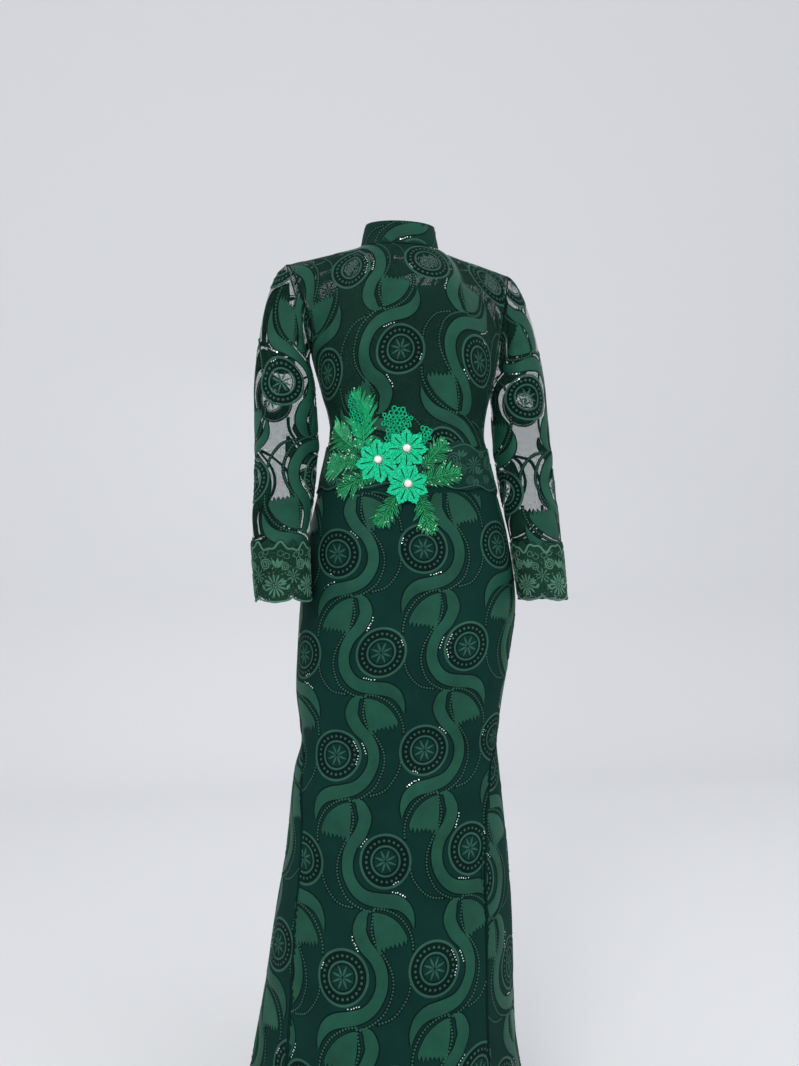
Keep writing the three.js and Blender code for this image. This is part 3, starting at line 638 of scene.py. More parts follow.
def shiny(name, low, high, roughness, metallic=0.0, coat=0.0, scale=60.0, bump=0.1):
    """Pearl, sequin, bead or metal with a slightly uneven finish."""
    material, tree, shader = new_material(name)
    place = node(tree, "TexCoord", {}, "Object")
    noise = node(tree, "TexNoise", {"Vector": place, "Scale": scale, "Detail": 4.0}, "Fac")
    colour = two_tones(tree, noise, low, high, 0.15)
    rough = {"Value": noise, "To Min": max(0.03, roughness - 0.07), "To Max": roughness + 0.07}
    feed(tree, shader, {
        "Base Color": colour, "Roughness": node(tree, "MapRange", rough),
        "Normal": node(tree, "Bump", {"Height": noise, "Strength": bump, "Distance": 0.0002}),
        "Metallic": metallic, "Coat Weight": coat,
    })
    return material


GROUND = fabric("ground_cloth", (8, 38, 34), (15, 49, 43), 0.85, specular=0.05)
NET = fabric("bodice_net", (14, 44, 36), (24, 58, 47), 0.8, holes=(0.9, 0.075))
SLEEVE_NET = fabric("sleeve_net", (16, 50, 40), (28, 64, 52), 0.8, holes=(0.9, 0.01))
LINING = fabric("lining_cloth", (7, 36, 33), (14, 47, 42), 0.8, period=0.6, specular=0.06)
BORDER_LACE = fabric("border_lace", (10, 38, 32), (20, 54, 45), 0.8, period=1.4, bump=0.5)
CUFF_LACE = fabric("cuff_lace", (16, 46, 37), (30, 68, 54), 0.8, period=1.4, bump=0.5, holes=(2.0, 0.15))
CUFF_THREAD = fabric("cuff_thread", (56, 98, 80), (88, 132, 112), 0.65, period=0.6, share=0.1, bump=0.5,
                     specular=0.12)
SATIN_STITCH = fabric("satin_stitch", (15, 59, 46), (25, 80, 62), 0.5, sheen=0.05, period=0.7, share=0.15,
                      bump=0.35, mottle=22, specular=0.12)
LIGHT_THREAD = fabric("light_thread", (32, 70, 58), (48, 92, 77), 0.65, period=0.6, share=0.1, bump=0.5,
                      specular=0.12)
DARK_THREAD = fabric("dark_thread", (3, 20, 18), (7, 29, 25), 0.7, period=0.6, share=0.1, bump=0.5, specular=0.05)
SEQUINS = shiny("clear_sequins", (200, 226, 214), (244, 255, 250), 0.16, metallic=0.85)
EMERALD = fabric("emerald_crochet", (2, 112, 76), (22, 230, 168), 0.6, sheen=0.06, period=1.1, bump=0.9,
                 mottle=620, sheen_tint=(140, 255, 210), specular=0.16, spread=0.1)
EMERALD_DARK = fabric("emerald_veins", (2, 44, 28), (5, 62, 38), 0.7, period=0.8, bump=0.5)
GLITTER = fabric("glitter_leaf", (3, 46, 26), (9, 80, 46), 0.5, sheen=0.05, period=0.8, bump=0.7, mottle=420,
                 specular=0.2)
GLITTER_BEAD = fabric("green_metal_thread", (30, 150, 94), (92, 226, 160), 0.35, period=0.5, bump=0.5, mottle=300,
                      specular=0.5)
GOLD_BEAD = shiny("pale_beads", (214, 240, 220), (246, 255, 246), 0.2, metallic=0.2)
PEARL = shiny("pearl_nacre", (232, 214, 212), (250, 242, 240), 0.2, coat=0.6, scale=140, bump=0.03)
ZIP_PAINT = shiny("zip_paint", (14, 46, 38), (22, 60, 50), 0.4, metallic=0.2, coat=0.2, scale=300)
LACE_MATERIALS = [SATIN_STITCH, LIGHT_THREAD, DARK_THREAD, SEQUINS]
CUFF_MATERIALS = [SATIN_STITCH, CUFF_THREAD, DARK_THREAD, SEQUINS]


# ---------------------------------------------------------------- the lace repeat

LACE = dict(pitch=135, drop=155, lean=3.3, wheel=39)

# One repeat, about its wheel: the ribbon that swings round the wheel, with its half width.
RIBBON = (
    (41, 90, 0.8), (32, 83, 6.5), (27.5, 72, 9), (26, 60, 9.6), (34.5, 41, 9.2), (49, 24, 8.6), (57, 3, 8.4),
    (56, -18, 8.4), (46, -36.5, 8.6), (31, -48, 9), (10, -53.5, 9.6), (-11, -57, 9.6), (-26, -66, 8),
    (-35, -81, 4.6), (-38, -96, 0.5),
)
CHAINS = (
    ((47, 88), (46, 78), (43.5, 62), (49, 43), (61, 26), (71, 6), (74, -14), (69, -33), (59, -50), (41, -62),
     (21, -69)),
    ((49, 91), (65, 88), (84, 77), (97, 60), (103, 43), (104, 26)),
    ((99, -16), (95, -30), (84, -46), (70, -57), (48, -62)),
)
LEAF_INNER = ((48, 86), (46.5, 76), (47, 60), (50, 45), (51, 36))
LEAF_OUTER = ((47, 86.5), (62, 83), (80, 72), (92, 56), (96, 46))
TEETH = 7
RIM = ridge(0.5, 0.06)
CORD = ((-1, 0.1), (-0.45, 0.85), (0.45, 0.85), (1, 0.1))


def beside(path, off):
    """A path moved sideways, to its left."""
    step = unit(np.gradient(path, axis=0))
    return path + point(-step[:, 1], step[:, 0]) * np.reshape(off, (-1, 1))


def half_leaf(stitching):
    """The half leaf with a jagged lower edge and a dark rim."""
    inner, outer = curve(LEAF_INNER, 8), curve(LEAF_OUTER, 8)
    share = np.linspace(0, 1, 4 * TEETH + 1)
    saw = 1 - np.abs(2 * (share * TEETH % 1) - 1)
    tooth = 10 * saw * (0.75 + 0.25 * np.sin(9 * share + 1))
    body = inner[:, None] + (outer - inner)[:, None] * share[None, :, None]
    edge = body[-1][None] + (tooth[:, None] * (0.16, -0.98))[None] * np.array((0.5, 1))[:, None, None]
    points = np.concatenate([body, edge])
    rise = np.minimum(np.linspace(0, 1, len(points))[:, None] * 5, 1) * np.minimum(1, 8 * share * (1 - share) + 0.2)
    rise[-1] = 0.2
    u, w = points[..., 0], points[..., 1]
    stitching.grid(u, w, 0.3 + 0.5 * rise, SATIN, point(u + w, w - u) * 0.7)
    rim = np.concatenate([body[::-1, 0], body[:, -1], points[-1, -2:0:-1]])
    stitching.band(rim, 1.25, RIM, DARK, closed=True)


def wheel(stitching, radius, dots):
    """Cord rings with a ring of knots between them on dark stitches, and a fine star inside."""
    for ring, count, half, section, kind in (
        (radius * 0.74, 44, radius * 0.16, ridge(0.22), DARK), (radius - 1.8, 56, 1.8, CORD, THREAD),
        (radius * 0.54, 40, 1.5, CORD, THREAD), (radius * 0.46, 40, 0.8, RIM, DARK),
    ):
        stitching.band(circle(ring, count), half, section, kind, closed=True)
    stitching.domes(circle(radius * 0.74, dots), 2.3, 0.9, THREAD)
    far = np.array((0.05, 0.18, 0.3, 0.44))[:, None] * radius
    for turn in np.arange(8) * math.pi / 4 + math.pi / 8:
        stitching.band(far * direction(turn), (0.5, 1.7, 1.4, 0.2), ridge(0.75, 0.22), THREAD)


def runs(path, pitch, starts, random):
    """Short uneven rows of places along a path."""
    at = spaced(path, pitch)
    picks = [int(start * len(at)) + k for start in starts for k in range(random.integers(3, 7))]
    return at[np.array(picks) % len(at)] + random.uniform(-0.7, 0.7, (len(picks), 2))


def lace_unit(seed, edge_runs, ring_runs):
    """One repeat, with its own short rows of sequins."""
    random = np.random.default_rng(seed)
    made = Stitching()
    ribbon = curve(RIBBON, 46)
    path, halves = ribbon[:, :2], ribbon[:, 2]
    for side in (1, -1):
        made.band(beside(path, side * (halves + 0.7)), 1.5, RIM, DARK)
    made.band(path, halves, ((-1, 0.32), (-0.78, 0.72), (0, 0.86), (0.78, 0.72), (1, 0.32)), SATIN)
    half_leaf(made)
    wheel(made, LACE["wheel"], 24)
    for chain in CHAINS:
        made.band(curve(chain, 24), 2.8, ridge(0.3, 0.05), DARK)
        made.domes(spaced(curve(chain, 60), 4.7), 1.9, 0.9, THREAD)
    made.sequins(runs(beside(path, -(halves + 3)), 4.1, edge_runs, random), 1.0, 0.3, random)
    ring = np.concatenate([circle(LACE["wheel"] * 0.87, 60, start=2.0)] * 2)[:61]
    made.sequins(runs(ring, 4.1, ring_runs, random), 0.95, 0.35, random)
    return made.arrays()


UNITS = [lace_unit(7, (0.2, 0.62), (0.1,)), lace_unit(8, (0.38,), (0.62, 0.7)), lace_unit(9, (0.3, 0.75), (0.35,))]


def lattice(chart, u0, w0, turned=False, droop=0):
    """The repeat all over a piece, leaning a little: every other row is shifted by half and mirrored.

    droop is how far the cloth hangs lower at the sides of the bust.
    """
    made = Stitching()
    heading = LACE["lean"] + 180 * turned
    reach, bust = 118, 140  # how far a repeat goes from its wheel, and how far out the bust's side lies
    for k in range(-9, 10):
        for j in range(-6, 7):
            local = np.array([[(j + 0.5 * (k % 2)) * LACE["pitch"], k * LACE["drop"], 0]])
            u, w, _ = spun(local, heading)[0] + (u0, w0, 0)
            beyond = max(chart.across.min() - u, u - chart.across.max(), chart.up[0] - w, w - chart.up[-1])
            if beyond < reach:
                made.copy(UNITS[(j + 2 * k) % 3], u, w, heading, mirrored=bool(k % 2))
    for points in made.points:
        points[:, 1] -= droop * np.sin(np.clip(points[:, 0] / bust, -1, 1) * math.pi / 2) ** 2
    return made


# ---------------------------------------------------------------- skirt


def seam_angle(column, sign=1, whole=0):
    return lambda z: whole + sign * np.interp(z, SEAMS["z"], SEAMS[column])


def skirt_chart(left_seam, right_seam, levels, count, zero_angle, creases):
    def short(seam, z):
        half = along(FIGURE, "z", "half", z)
        lean = np.radians(seam(z) - seam(z - 1)) * half
        return np.degrees(SEAM * 1.3 * np.hypot(1, lean) / half)

    def edges(z):
        return left_seam(z) + short(left_seam, z), right_seam(z) - short(right_seam, z)

    def surface(share, z):
        left, right = edges(z)
        return figure(left + (right - left) * share, z)

    def zero(z):
        left, right = edges(z)
        return float(np.clip((zero_angle - left) / (right - left), 0, 1)) if zero_angle is not None else 0.5

    return Chart(surface, np.linspace(0, 1, count), levels, zero, levels[0], creases)


SKIRT_CREASES = {
    "skirt_front": (
        (-120, -440, 60, 110, 26, 1.4), (118, -452, 118, 120, 24, -1.5), (-60, -458, 84, 90, 22, -1.0),
        (95, -560, 14, 150, 34, 1.1), (-120, -585, 168, 160, 30, -1.2), (-150, -760, 24, 150, 22, -1.8),
        (-165, -800, 8, 120, 18, 1.6), (150, -770, 160, 140, 22, 1.8), (155, -812, 172, 120, 18, -1.5),
        (-70, -840, 166, 170, 30, -1.2), (60, -860, 20, 190, 34, 1.2), (-130, -930, 70, 220, 26, 1.8),
        (118, -980, 104, 240, 30, -2.0), (-40, -1130, 84, 330, 40, 2.0), (40, -1230, 96, 340, 44, -2.4),
        (-100, -1330, 80, 260, 34, -2.6), (120, -1360, 98, 230, 32, 2.6), (5, -1400, 90, 160, 30, 1.8),
    ),
    "back_right": (
        (-190, -450, 110, 120, 26, 1.5), (-90, -520, 20, 170, 34, -1.4), (-120, -640, 150, 180, 36, 1.4),
        (-180, -790, 162, 140, 22, -1.8), (-80, -815, 12, 170, 26, 1.5), (-60, -1010, 86, 280, 34, -2.0),
        (-120, -1180, 98, 300, 36, 2.4), (-40, -1300, 88, 280, 34, 2.4), (-90, -1390, 92, 180, 30, -2.4),
    ),
    "back_left": (
        (180, -446, 68, 110, 24, -1.3), (85, -540, 165, 180, 30, 1.4), (130, -660, 24, 160, 32, -1.2),
        (170, -796, 14, 150, 24, 1.8), (90, -826, 170, 150, 22, -1.5), (70, -990, 96, 260, 30, 2.0),
        (130, -1160, 84, 280, 38, -2.2), (50, -1290, 92, 260, 30, -2.2), (100, -1380, 86, 200, 34, 2.6),
    ),
    "godet": (
        (0, -1000, 90, 220, 26, 2.2), (-40, -1180, 96, 260, 24, -2.8), (38, -1230, 84, 300, 26, 2.8),
        (0, -1370, 90, 200, 22, -2.4), (-80, -1400, 98, 160, 24, 2.4), (76, -1390, 82, 170, 22, -2.2),
    ),
}
WAIST_SKIP = (TRIM["bottom"] + 6, TRIM["top"] - 6)


BACK_SEAMS = seam_angle("back"), seam_angle("back", -1, 360)
SKIRT_LEVELS = np.linspace(HEM, WAIST_SEAM - SEAM, 160)
FLARE_LEVELS = np.append(SKIRT_LEVELS[SKIRT_LEVELS < KNEE], KNEE - 0.5)


def middle_seam(z):
    return 180 + 0 * z


SKIRT_PIECES = (
    ("skirt_front", seam_angle("left"), seam_angle("right"), SKIRT_LEVELS, 88, 0, "skirt_front", 6, -496),
    ("skirt_back_right", BACK_SEAMS[0], middle_seam, SKIRT_LEVELS, 50, 180, "back_right", 40, -470),
    ("skirt_back_left", middle_seam, BACK_SEAMS[1], SKIRT_LEVELS, 50, 180, "back_left", 40, -470),
    ("godet_right", seam_angle("right"), BACK_SEAMS[0], FLARE_LEVELS, 46, None, "godet", 12, -1000),
    ("godet_left", BACK_SEAMS[1], seam_angle("left", 1, 360), FLARE_LEVELS, 46, None, "godet", -20, -960),
)  # name, left and right seam, levels, columns, angle of the middle line, creases, where the lace starts
ALLOWANCES = {
    "skirt_front": (("left", seam_angle("left"), WAIST_SEAM), ("right", seam_angle("right"), WAIST_SEAM)),
    "skirt_back_right": (("side", BACK_SEAMS[0], KNEE), ("middle", middle_seam, WAIST_SEAM)),
    "skirt_back_left": (("side", BACK_SEAMS[1], KNEE),),
}  # which seam, its angles and its top


def make_skirt():
    for name, left, right, levels, count, zero, creases, u0, w0 in SKIRT_PIECES:
        chart = skirt_chart(left, right, levels, count, zero, SKIRT_CREASES[creases])
        base = shell(name + "_cloth", chart, SKIRT_WALL, GROUND)
        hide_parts(name)
        work = lattice(chart, u0, w0).on(chart, name + "_embroidery", LACE_MATERIALS, skip=WAIST_SKIP)
        trim = edging(chart, name + "_seams")
        tapes = skirt_tapes(name)


def edging(chart, name):
    """Seam cords along a piece's edges, and a stitched hem along its foot."""
    made = Stitching()
    cord = ridge(0.8, 0.05)
    w = np.linspace(chart.up[0] + 1, chart.up[-1] - 1, 150)
    for column, inwards in ((0, 1.7), (-1, -1.7)):
        made.band(point(np.interp(w, chart.up, chart.across[:, column]) + inwards, w), 0.6, cord, DARK)
    u = np.linspace(chart.across[0, 0] + 2, chart.across[0, -1] - 2, 120)
    for rise, half in ((1.4, 1.0), (14, 0.5)):
        made.band(point(u, chart.up[0] + rise), half, cord, DARK)
    work = made.on(chart, name, LACE_MATERIALS, margin=0.2)
    return work


def skirt_tapes(name):
    """The pressed seam allowances inside the seams of a skirt piece, so that no light shows through them."""
    made = []
    for which, seam, top in ALLOWANCES.get(name, ()):
        z = np.linspace(HEM + 3, top - 2, 120)
        path = figure(seam(z), z)
        outward = path - point(along(FIGURE, "z", "sway", z), 0, z)
        made.append(seam_tape(name + "_" + which + "_allowance", path, outward, 7, 0.4, SKIRT_WALL + 2, GROUND,
                              "lined_lace"))
    return made


# ---------------------------------------------------------------- bodice, lining and collar

EDGE, BACK_EDGE = 0.0016, 0.003
BODICE_CREASES = {
    "front": (
        (-100, -285, 48, 90, 18, 1.6), (-120, -262, 40, 80, 14, -1.6), (112, -282, 132, 90, 18, -1.6),
        (128, -258, 140, 80, 14, 1.6), (-60, -330, 170, 110, 14, 1.2), (70, -325, 8, 120, 14, -1.2),
        (-130, -170, 60, 80, 14, -2.0), (-144, -140, 74, 90, 12, 2.2), (150, -160, 112, 90, 14, -2.0),
        (158, -128, 104, 80, 12, 1.8), (0, -200, 88, 90, 26, -1.6), (12, -120, 20, 90, 20, 1.0),
    ),
    "back_right": (
        (-150, -250, 150, 100, 16, 1.6), (-90, -320, 170, 120, 16, -1.5), (-160, -150, 70, 100, 16, -1.8),
        (-60, -220, 20, 110, 20, 1.2), (-70, -100, 150, 120, 20, 1.4),
    ),
    "back_left": (
        (146, -256, 28, 110, 16, -1.6), (84, -316, 12, 110, 16, 1.5), (155, -146, 108, 100, 14, 1.8),
        (64, -230, 160, 110, 20, -1.2), (76, -96, 34, 120, 22, -1.4),
    ),
}


def lining_surface(facing, side):
    """The lining follows the bodice's lower rows, then fans up to its own top edge, further and further in."""

    def surface(s, v):
        level = np.where(v <= 0, v, v * along(LINING_TOP, "s", "rise", np.abs(s)))
        h = 1e-3
        a = bodice(facing, side * s + h, level) - bodice(facing, side * s - h, level)
        b = bodice(facing, side * s, level + h) - bodice(facing, side * s, level - h)
        depth = LINING_DEPTH + LINING_SLACK * np.maximum(0, v)
        return bodice(facing, side * s, level) - unit(np.cross(a, b) * facing) * depth[..., None]

    return surface


BODICE_LEVELS, LINING_LEVELS = np.linspace(-1 + EDGE, 1 - 2 * EDGE, 62), np.linspace(-1 + EDGE, 1, 40)
WHOLE, HALF = np.linspace(-1 + EDGE, 1 - EDGE, 84), np.linspace(BACK_EDGE, 1 - EDGE, 40)
BODICE_PIECES = (
    ("front", 1, 1, WHOLE, -25, -198, 22, (0.46, 0.42), 0.155, (0.475, 0.305), 0.111),
    ("back_right", -1, 1, HALF, -60, -215, 8, (0.225, 0.415), 0.0745, (0.235, 0.3), 0.053),
    ("back_left", -1, -1, HALF, -60, -215, 8, (0.225, 0.415), 0.0745, (0.235, 0.3), 0.053),
)  # piece, facing, side, columns, where the lace starts and droops, flat size and area, and the lining's


def make_bodice():
    for place, facing, side, columns, u0, w0, droop, flat, area, lining_flat, lining_area in BODICE_PIECES:
        name, lining = "bodice_" + place, "lining_" + place
        across = columns if facing * side > 0 else -columns[::-1]  # seen from behind, right lies to the left

        middle = float(np.clip(0, across[0], across[-1]))
        chart = Chart(lambda s, v: bodice(facing, facing * s, v), across, BODICE_LEVELS, lambda v: middle, WAIST_SEAM,
                      BODICE_CREASES[place])
        base = shell(name + "_net", chart, NET_WALL, NET)
        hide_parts(name)
        work = lattice(chart, u0, w0, turned=True, droop=droop).on(
            chart, name + "_embroidery", LACE_MATERIALS, skip=WAIST_SKIP)
        inside = Chart(lining_surface(facing, side), columns, LINING_LEVELS, lambda v: 0.1, WAIST_SEAM)
        under = shell(lining + "_cloth", inside, LINING_WALL, LINING)
        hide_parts(lining)


def make_collar():
    edge = math.degrees(2 * SEAM / NECK["back"])
    chart = Chart(collar, np.linspace(edge - 180, 180 - edge, 150), np.linspace(0, 1, 12), lambda v: 0.0, 0)
    base = shell("collar_net", chart, COLLAR_WALL, BORDER_LACE)
    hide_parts("collar")
    work = lattice(chart, 20, -30, turned=True).on(chart, "collar_embroidery", LACE_MATERIALS)


CORDS = dict(armhole=(1.2, 1.2, 0.2), shoulder=(1.0, 1.0, 0.4), neck=(1.1, 1.1, -0.3))
TAPES = dict(side=(6, 0.4, 5), zip=(8, 0.4, 5), collar=(4, 0.4, 2.2))  # half width, half thickness, depth


def make_seams():
    """Corded seams round the armholes and the neck and over the shoulders, and tape behind the bodice's seams."""
    v = np.linspace(0, 1, 60)
    for name, side in (("left", -1), ("right", 1)):
        hole = np.concatenate([bodice_edge(1, side, v), bodice_edge(-1, side, v[-2::-1])])
        hole = hole + (side * SEAM, 0, 0)
        seam_tape("armhole_seam_" + name, hole, point(side, 0, 0), *CORDS["armhole"], DARK_THREAD, "embroidered_net")
        shoulder = upper_edge(1, side * np.linspace(NECK_SHARE, 1, 40))
        seam_tape("shoulder_seam_" + name, shoulder, point(0, 0, 1), *CORDS["shoulder"], DARK_THREAD,
                  "embroidered_net")
        z = np.linspace(WAIST_SEAM + 2, UNDERARM - 2, 40)
        flank = figure(side * 90 + 0 * z, z)
        seam_tape("bodice_side_tape_" + name, flank, point(side, 0, 0), *TAPES["side"], LINING, "lining")
    ring = neck_base(np.linspace(-179, 179, 120))
    seam_tape("neck_seam", ring, ring * (1, 1, 0), *CORDS["neck"], DARK_THREAD, "embroidered_net")
    v = np.linspace(-0.99, 0.98, 80)
    seam_tape("zip_tape", bodice(-1, 0 * v, v), point(0, 1, 0), *TAPES["zip"], LINING, "lining")
    v = np.linspace(0.02, 0.96, 24)
    seam_tape("collar_zip_tape", collar(180 + 0 * v, v), point(0, 1, 0), *TAPES["collar"], LINING, "lining")


# ---------------------------------------------------------------- sleeves and cuffs

SLEEVE_CREASES = {
    "sleeve_left": (
        (-20, -150, 70, 90, 14, -2.0), (18, -120, 80, 80, 12, 2.2), (40, -175, 112, 90, 14, 1.8),
        (-30, -255, 30, 70, 12, -1.6), (10, -290, 15, 80, 14, 1.8), (0, -330, 168, 90, 14, -2.2),
        (-18, -365, 20, 80, 12, 2.0), (30, -400, 150, 80, 14, -1.6), (-10, -440, 24, 90, 16, 1.6),
        (60, -300, 120, 90, 16, 1.6), (-80, -350, 60, 80, 16, -1.6), (90, -420, 80, 90, 18, -1.4),
        (0, -480, 170, 80, 14, -1.2),
    ),
    "sleeve_right": (
        (24, -146, 108, 90, 14, -2.0), (-16, -116, 98, 80, 12, 2.0), (-40, -180, 66, 90, 14, 1.6),
        (26, -262, 148, 70, 12, -1.6), (-8, -300, 166, 80, 14, 1.8), (6, -342, 12, 90, 14, -2.2),
        (20, -378, 158, 80, 12, 1.8), (-30, -410, 30, 80, 14, -1.6), (8, -452, 156, 90, 16, 1.4),
        (-66, -310, 64, 90, 16, 1.6), (84, -350, 118, 80, 16, -1.4), (-90, -430, 96, 90, 18, -1.4),
    ),
}


def round_chart(surface, side, columns, levels, start, creases=()):
    """A chart all round an arm, with its middle line at the front."""
    return Chart(lambda share, level: surface(side, side * (share - 0.5) + 0.5, level), np.linspace(0, 1, columns),
                 levels, lambda level: 0.5 - side * 0.25, start, creases)


def make_sleeves():
    for name, side, u0, w0 in (("sleeve_left", -1, 53, -79), ("sleeve_right", 1, 58, -94)):
        chart = round_chart(sleeve, side, 61, np.linspace(-1, 1, 84), SLEEVE_END, SLEEVE_CREASES[name])
        base = shell(name + "_net", chart, NET_WALL, SLEEVE_NET, tube=True)
        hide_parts(name)
        work = lattice(chart, u0, w0, turned=True).on(
            chart, name + "_embroidery", LACE_MATERIALS, skip=(SLEEVE_END - 10, CUFF["high"] - 4))


def cuff_face(side, turn, z):
    return sleeve_ring(side, turn, z, CUFF["gap"] + BORDER)


def make_cuffs():
    turn, v = np.linspace(0, 1, 161), np.linspace(0, 1, 22)[:, None]
    crest = CUFF["crest"] * np.sin(2 * np.pi * turn * (CUFF["scallops"] + 2)) ** 2
    lobe = CUFF["scallop_depth"] * np.abs(np.sin(np.pi * turn * CUFF["scallops"])) ** 0.8
    z = hermite(CUFF["low"] - lobe, 0, CUFF["high"] + crest, 0, v)
    uv = point(turn * (2 * np.pi * CUFF["radius"]), z)
    for name, side in (("cuff_left", -1), ("cuff_right", 1)):
        inner = sleeve_ring(side, turn, z, CUFF["gap"])
        base = wall(name + "_lace", cuff_face(side, turn, z) * MM, inner * MM, uv * MM, CUFF_LACE, tube=True)
        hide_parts(name)
        chart = round_chart(cuff_face, side, 81, np.linspace(*CUFF_CHART, 24), CUFF_CHART[0])
        work = cuff_work(chart).on(chart, name + "_embroidery", CUFF_MATERIALS, margin=0)


CUFF_RINGS = ((-18, -517), (-9, -513), (-14, -524), (14, -515), (23, -519))


def cuff_work(chart):
    """Daisies, rosettes, sprigs, an open mesh and edge cords of the cuff's border lace."""
    made = Stitching()
    random = np.random.default_rng(3)
    left, right = chart.across.mean(axis=0)[[0, -1]]
    step = (right - left) / CUFF["scallops"]
    run = np.linspace(left, right, 160)
    turns = (run - left) / step * 2 * math.pi
    made.band(point(run, 5.5 * np.sin(turns * 1.4) + 2.5 * np.sin(turns * 3) - 505), 1.5, CORD, THREAD)
    arc = np.linspace(0, math.pi, 24)
    for k in range(CUFF["scallops"]):
        middle = left + (k + 0.5) * step
        notch = middle - step / 2 + 4
        daisy(made, middle + 3, -564, 18, 13)
        daisy(made, notch, -549, 12, 9)
        spiral(made, middle - 10, -532, 9, 1)
        spiral(made, middle + 20, -535, 7, -1)
        sprig(made, middle + 8, -540, (60, 85, 115), 3, 15, 2.6)
        sprig(made, notch, -552, (200, 235, 300, 335), 12, 10, 2.4)
        for u, w in CUFF_RINGS:
            made.band(circle(4.6, 6, middle + u, w, 0.5), 0.6, CORD, THREAD, closed=True)
        made.domes(point(middle + random.uniform(-step / 2, step / 2, 26), random.uniform(-586, -512, 26)), 1.2, 0.8,
                   THREAD)
        foot = point(middle - step / 2 * np.cos(arc), -578.5 - 9.5 * np.sin(arc) ** 0.8)
        made.band(foot, 1.3, CORD, THREAD)
    return made


def daisy(made, u, w, radius, petals):
    """Narrow petals round a ring of knots."""
    far = np.array((0.25, 0.5, 0.8, 1.0))[:, None] * radius
    halves = np.array((0.04, 0.075, 0.09, 0.02)) * radius
    for turn in np.arange(petals) * 2 * math.pi / petals + 0.2:
        made.band((u, w) + far * direction(turn), halves, ridge(0.95), THREAD)
    made.domes(circle(0.14 * radius, 5, u, w), 0.08 * radius, 1.0, THREAD)


def sprig(made, u, w, headings, start, length, half):
    """Pointed leaves that start some way from a middle."""
    far = start + np.array((0, 0.25, 0.55, 0.8, 1))[:, None] * length
    halves = np.array((0.15, 0.75, 1, 0.65, 0.05)) * half
    section = ((-1, 0.1), (-0.3, 0.72), (0, 0.9), (0.3, 0.72), (1, 0.1))
    for heading in headings:
        made.band((u, w) + far * direction(math.radians(heading)), halves, section, THREAD)


def spiral(made, u, w, radius, turned):
    a = np.linspace(0, 4.6 * math.pi, 48)
    r = radius * (1 - 0.86 * a / a[-1])
    made.band(point(u + turned * r * np.cos(a), w + r * np.sin(a)), 0.085 * radius + 0.25, ridge(0.9), THREAD)


# ---------------------------------------------------------------- waist trim

TRIM_PIECES = (
    ("waist_trim_front", -90, 90, 180), ("waist_trim_back_right", 90, 180, 90),
    ("waist_trim_back_left", 180, 270, 90),
)  # name, angles and columns


TRIM_ROSETTES = (
    ((-3, -368, 13, 1), (17, -384, 10, -1), (-6, -396, 8, -1)), ((-3, -400, 8, 1), (14, -354, 7, -1)),
)  # off, level, radius and way round, in even motifs and in odd ones


def trim_edges(angle):
    """The levels of the waist trim's wavy foot and top."""
    crest = TRIM["wave"] * np.cos(np.radians(angle * 12))
    return TRIM["bottom"] - crest * 0.7, TRIM["top"] + crest


def make_waist_trim():
    for name, start, end, columns in TRIM_PIECES:
        angle = np.linspace(start + 0.25, end - 0.25, columns)
        foot, top = trim_edges(angle)
        z = hermite(foot, 0, top, 0, np.linspace(0, 1, 16)[:, None])
        under = figure(angle, z)
        way = normals(under)
        girth = np.cumsum(np.linalg.norm(np.diff(under, axis=1), axis=2), axis=1).mean(axis=0)
        uv = point(np.append(0, girth), z)
        base = wall(name + "_lace", (under + way * (TRIM_GAP + BORDER)) * MM, (under + way * TRIM_GAP) * MM,
                    uv * MM, BORDER_LACE)
        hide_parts(name)
        chart = Chart(figure, angle, np.linspace(*TRIM_CHART, 22), lambda z: float(angle[0]), TRIM_CHART[0])
        chart.points = chart.points + chart.normals * (TRIM_GAP + BORDER)
        wide = chart.across.mean(axis=0)[-1]
        work = trim_work(chart, angle, wide).on(chart, name + "_embroidery", LACE_MATERIALS, margin=0)


def trim_work(chart, angle, wide):
    """Daisies and rosettes by turns, with sprigs, knots and edge cords."""
    made = Stitching()
    random = np.random.default_rng(5)
    count = round(wide / 38)
    for k in range(count):
        u = (k + 0.5) * wide / count
        if k % 2:
            daisy(made, u, -374, 16, 11)
        for off, level, radius, turned in TRIM_ROSETTES[k % 2]:
            spiral(made, u + off, level, radius, turned)
        sprig(made, u + 10, -392 if k % 2 else -366, (50, 80, 110, 250, 285), 4, 13, 2.6)
    made.domes(point(random.uniform(0, wide, 5 * count), random.uniform(-408, -348, 5 * count)), 1.2, 0.8, THREAD)
    run = np.linspace(0, wide, 140)
    foot, top = trim_edges(np.interp(run, chart.across.mean(axis=0), angle))
    for level in (top - 2.5, foot + 2.5):
        made.band(point(run, level), 1.2, CORD, THREAD)
    return made


# ---------------------------------------------------------------- corsage

SPRAYS = (
    ("spray_upper_left", -35, -342, 103, 78, 44, 5), ("spray_left_high", -43, -350, 146, 66, 22, 6),
    ("spray_left_low", -42, -374, 181, 52, 20, 5), ("spray_lower_left", -31, -397, 206, 50, 20, 5),
    ("spray_bottom_left", -13, -430, 240, 48, 20, 5), ("spray_bottom_right", 1, -427, 284, 60, 22, 6),
    ("spray_right", 5, -401, 13, 58, 24, 6), ("spray_upper_right", 7, -374, 47, 46, 22, 5),
)  # name, angle, z, heading, length, width, teeth
BUBBLES = (("bubbles_top", -14, -331, 84, 44, 46, 4), ("bubbles_right", 5, -337, 70, 20, 20, 2))
FLOWERS = (
    ("flower_1", "pearl_1", -24.1, -372.8, 33, 1, 10), ("flower_2", "pearl_2", -6.9, -355, 30, 2, 0),
    ("flower_3", "pearl_3", -6.3, -410.4, 30, 2, 22.5),
)  # name, pearl, angle, z, radius, layer, phase
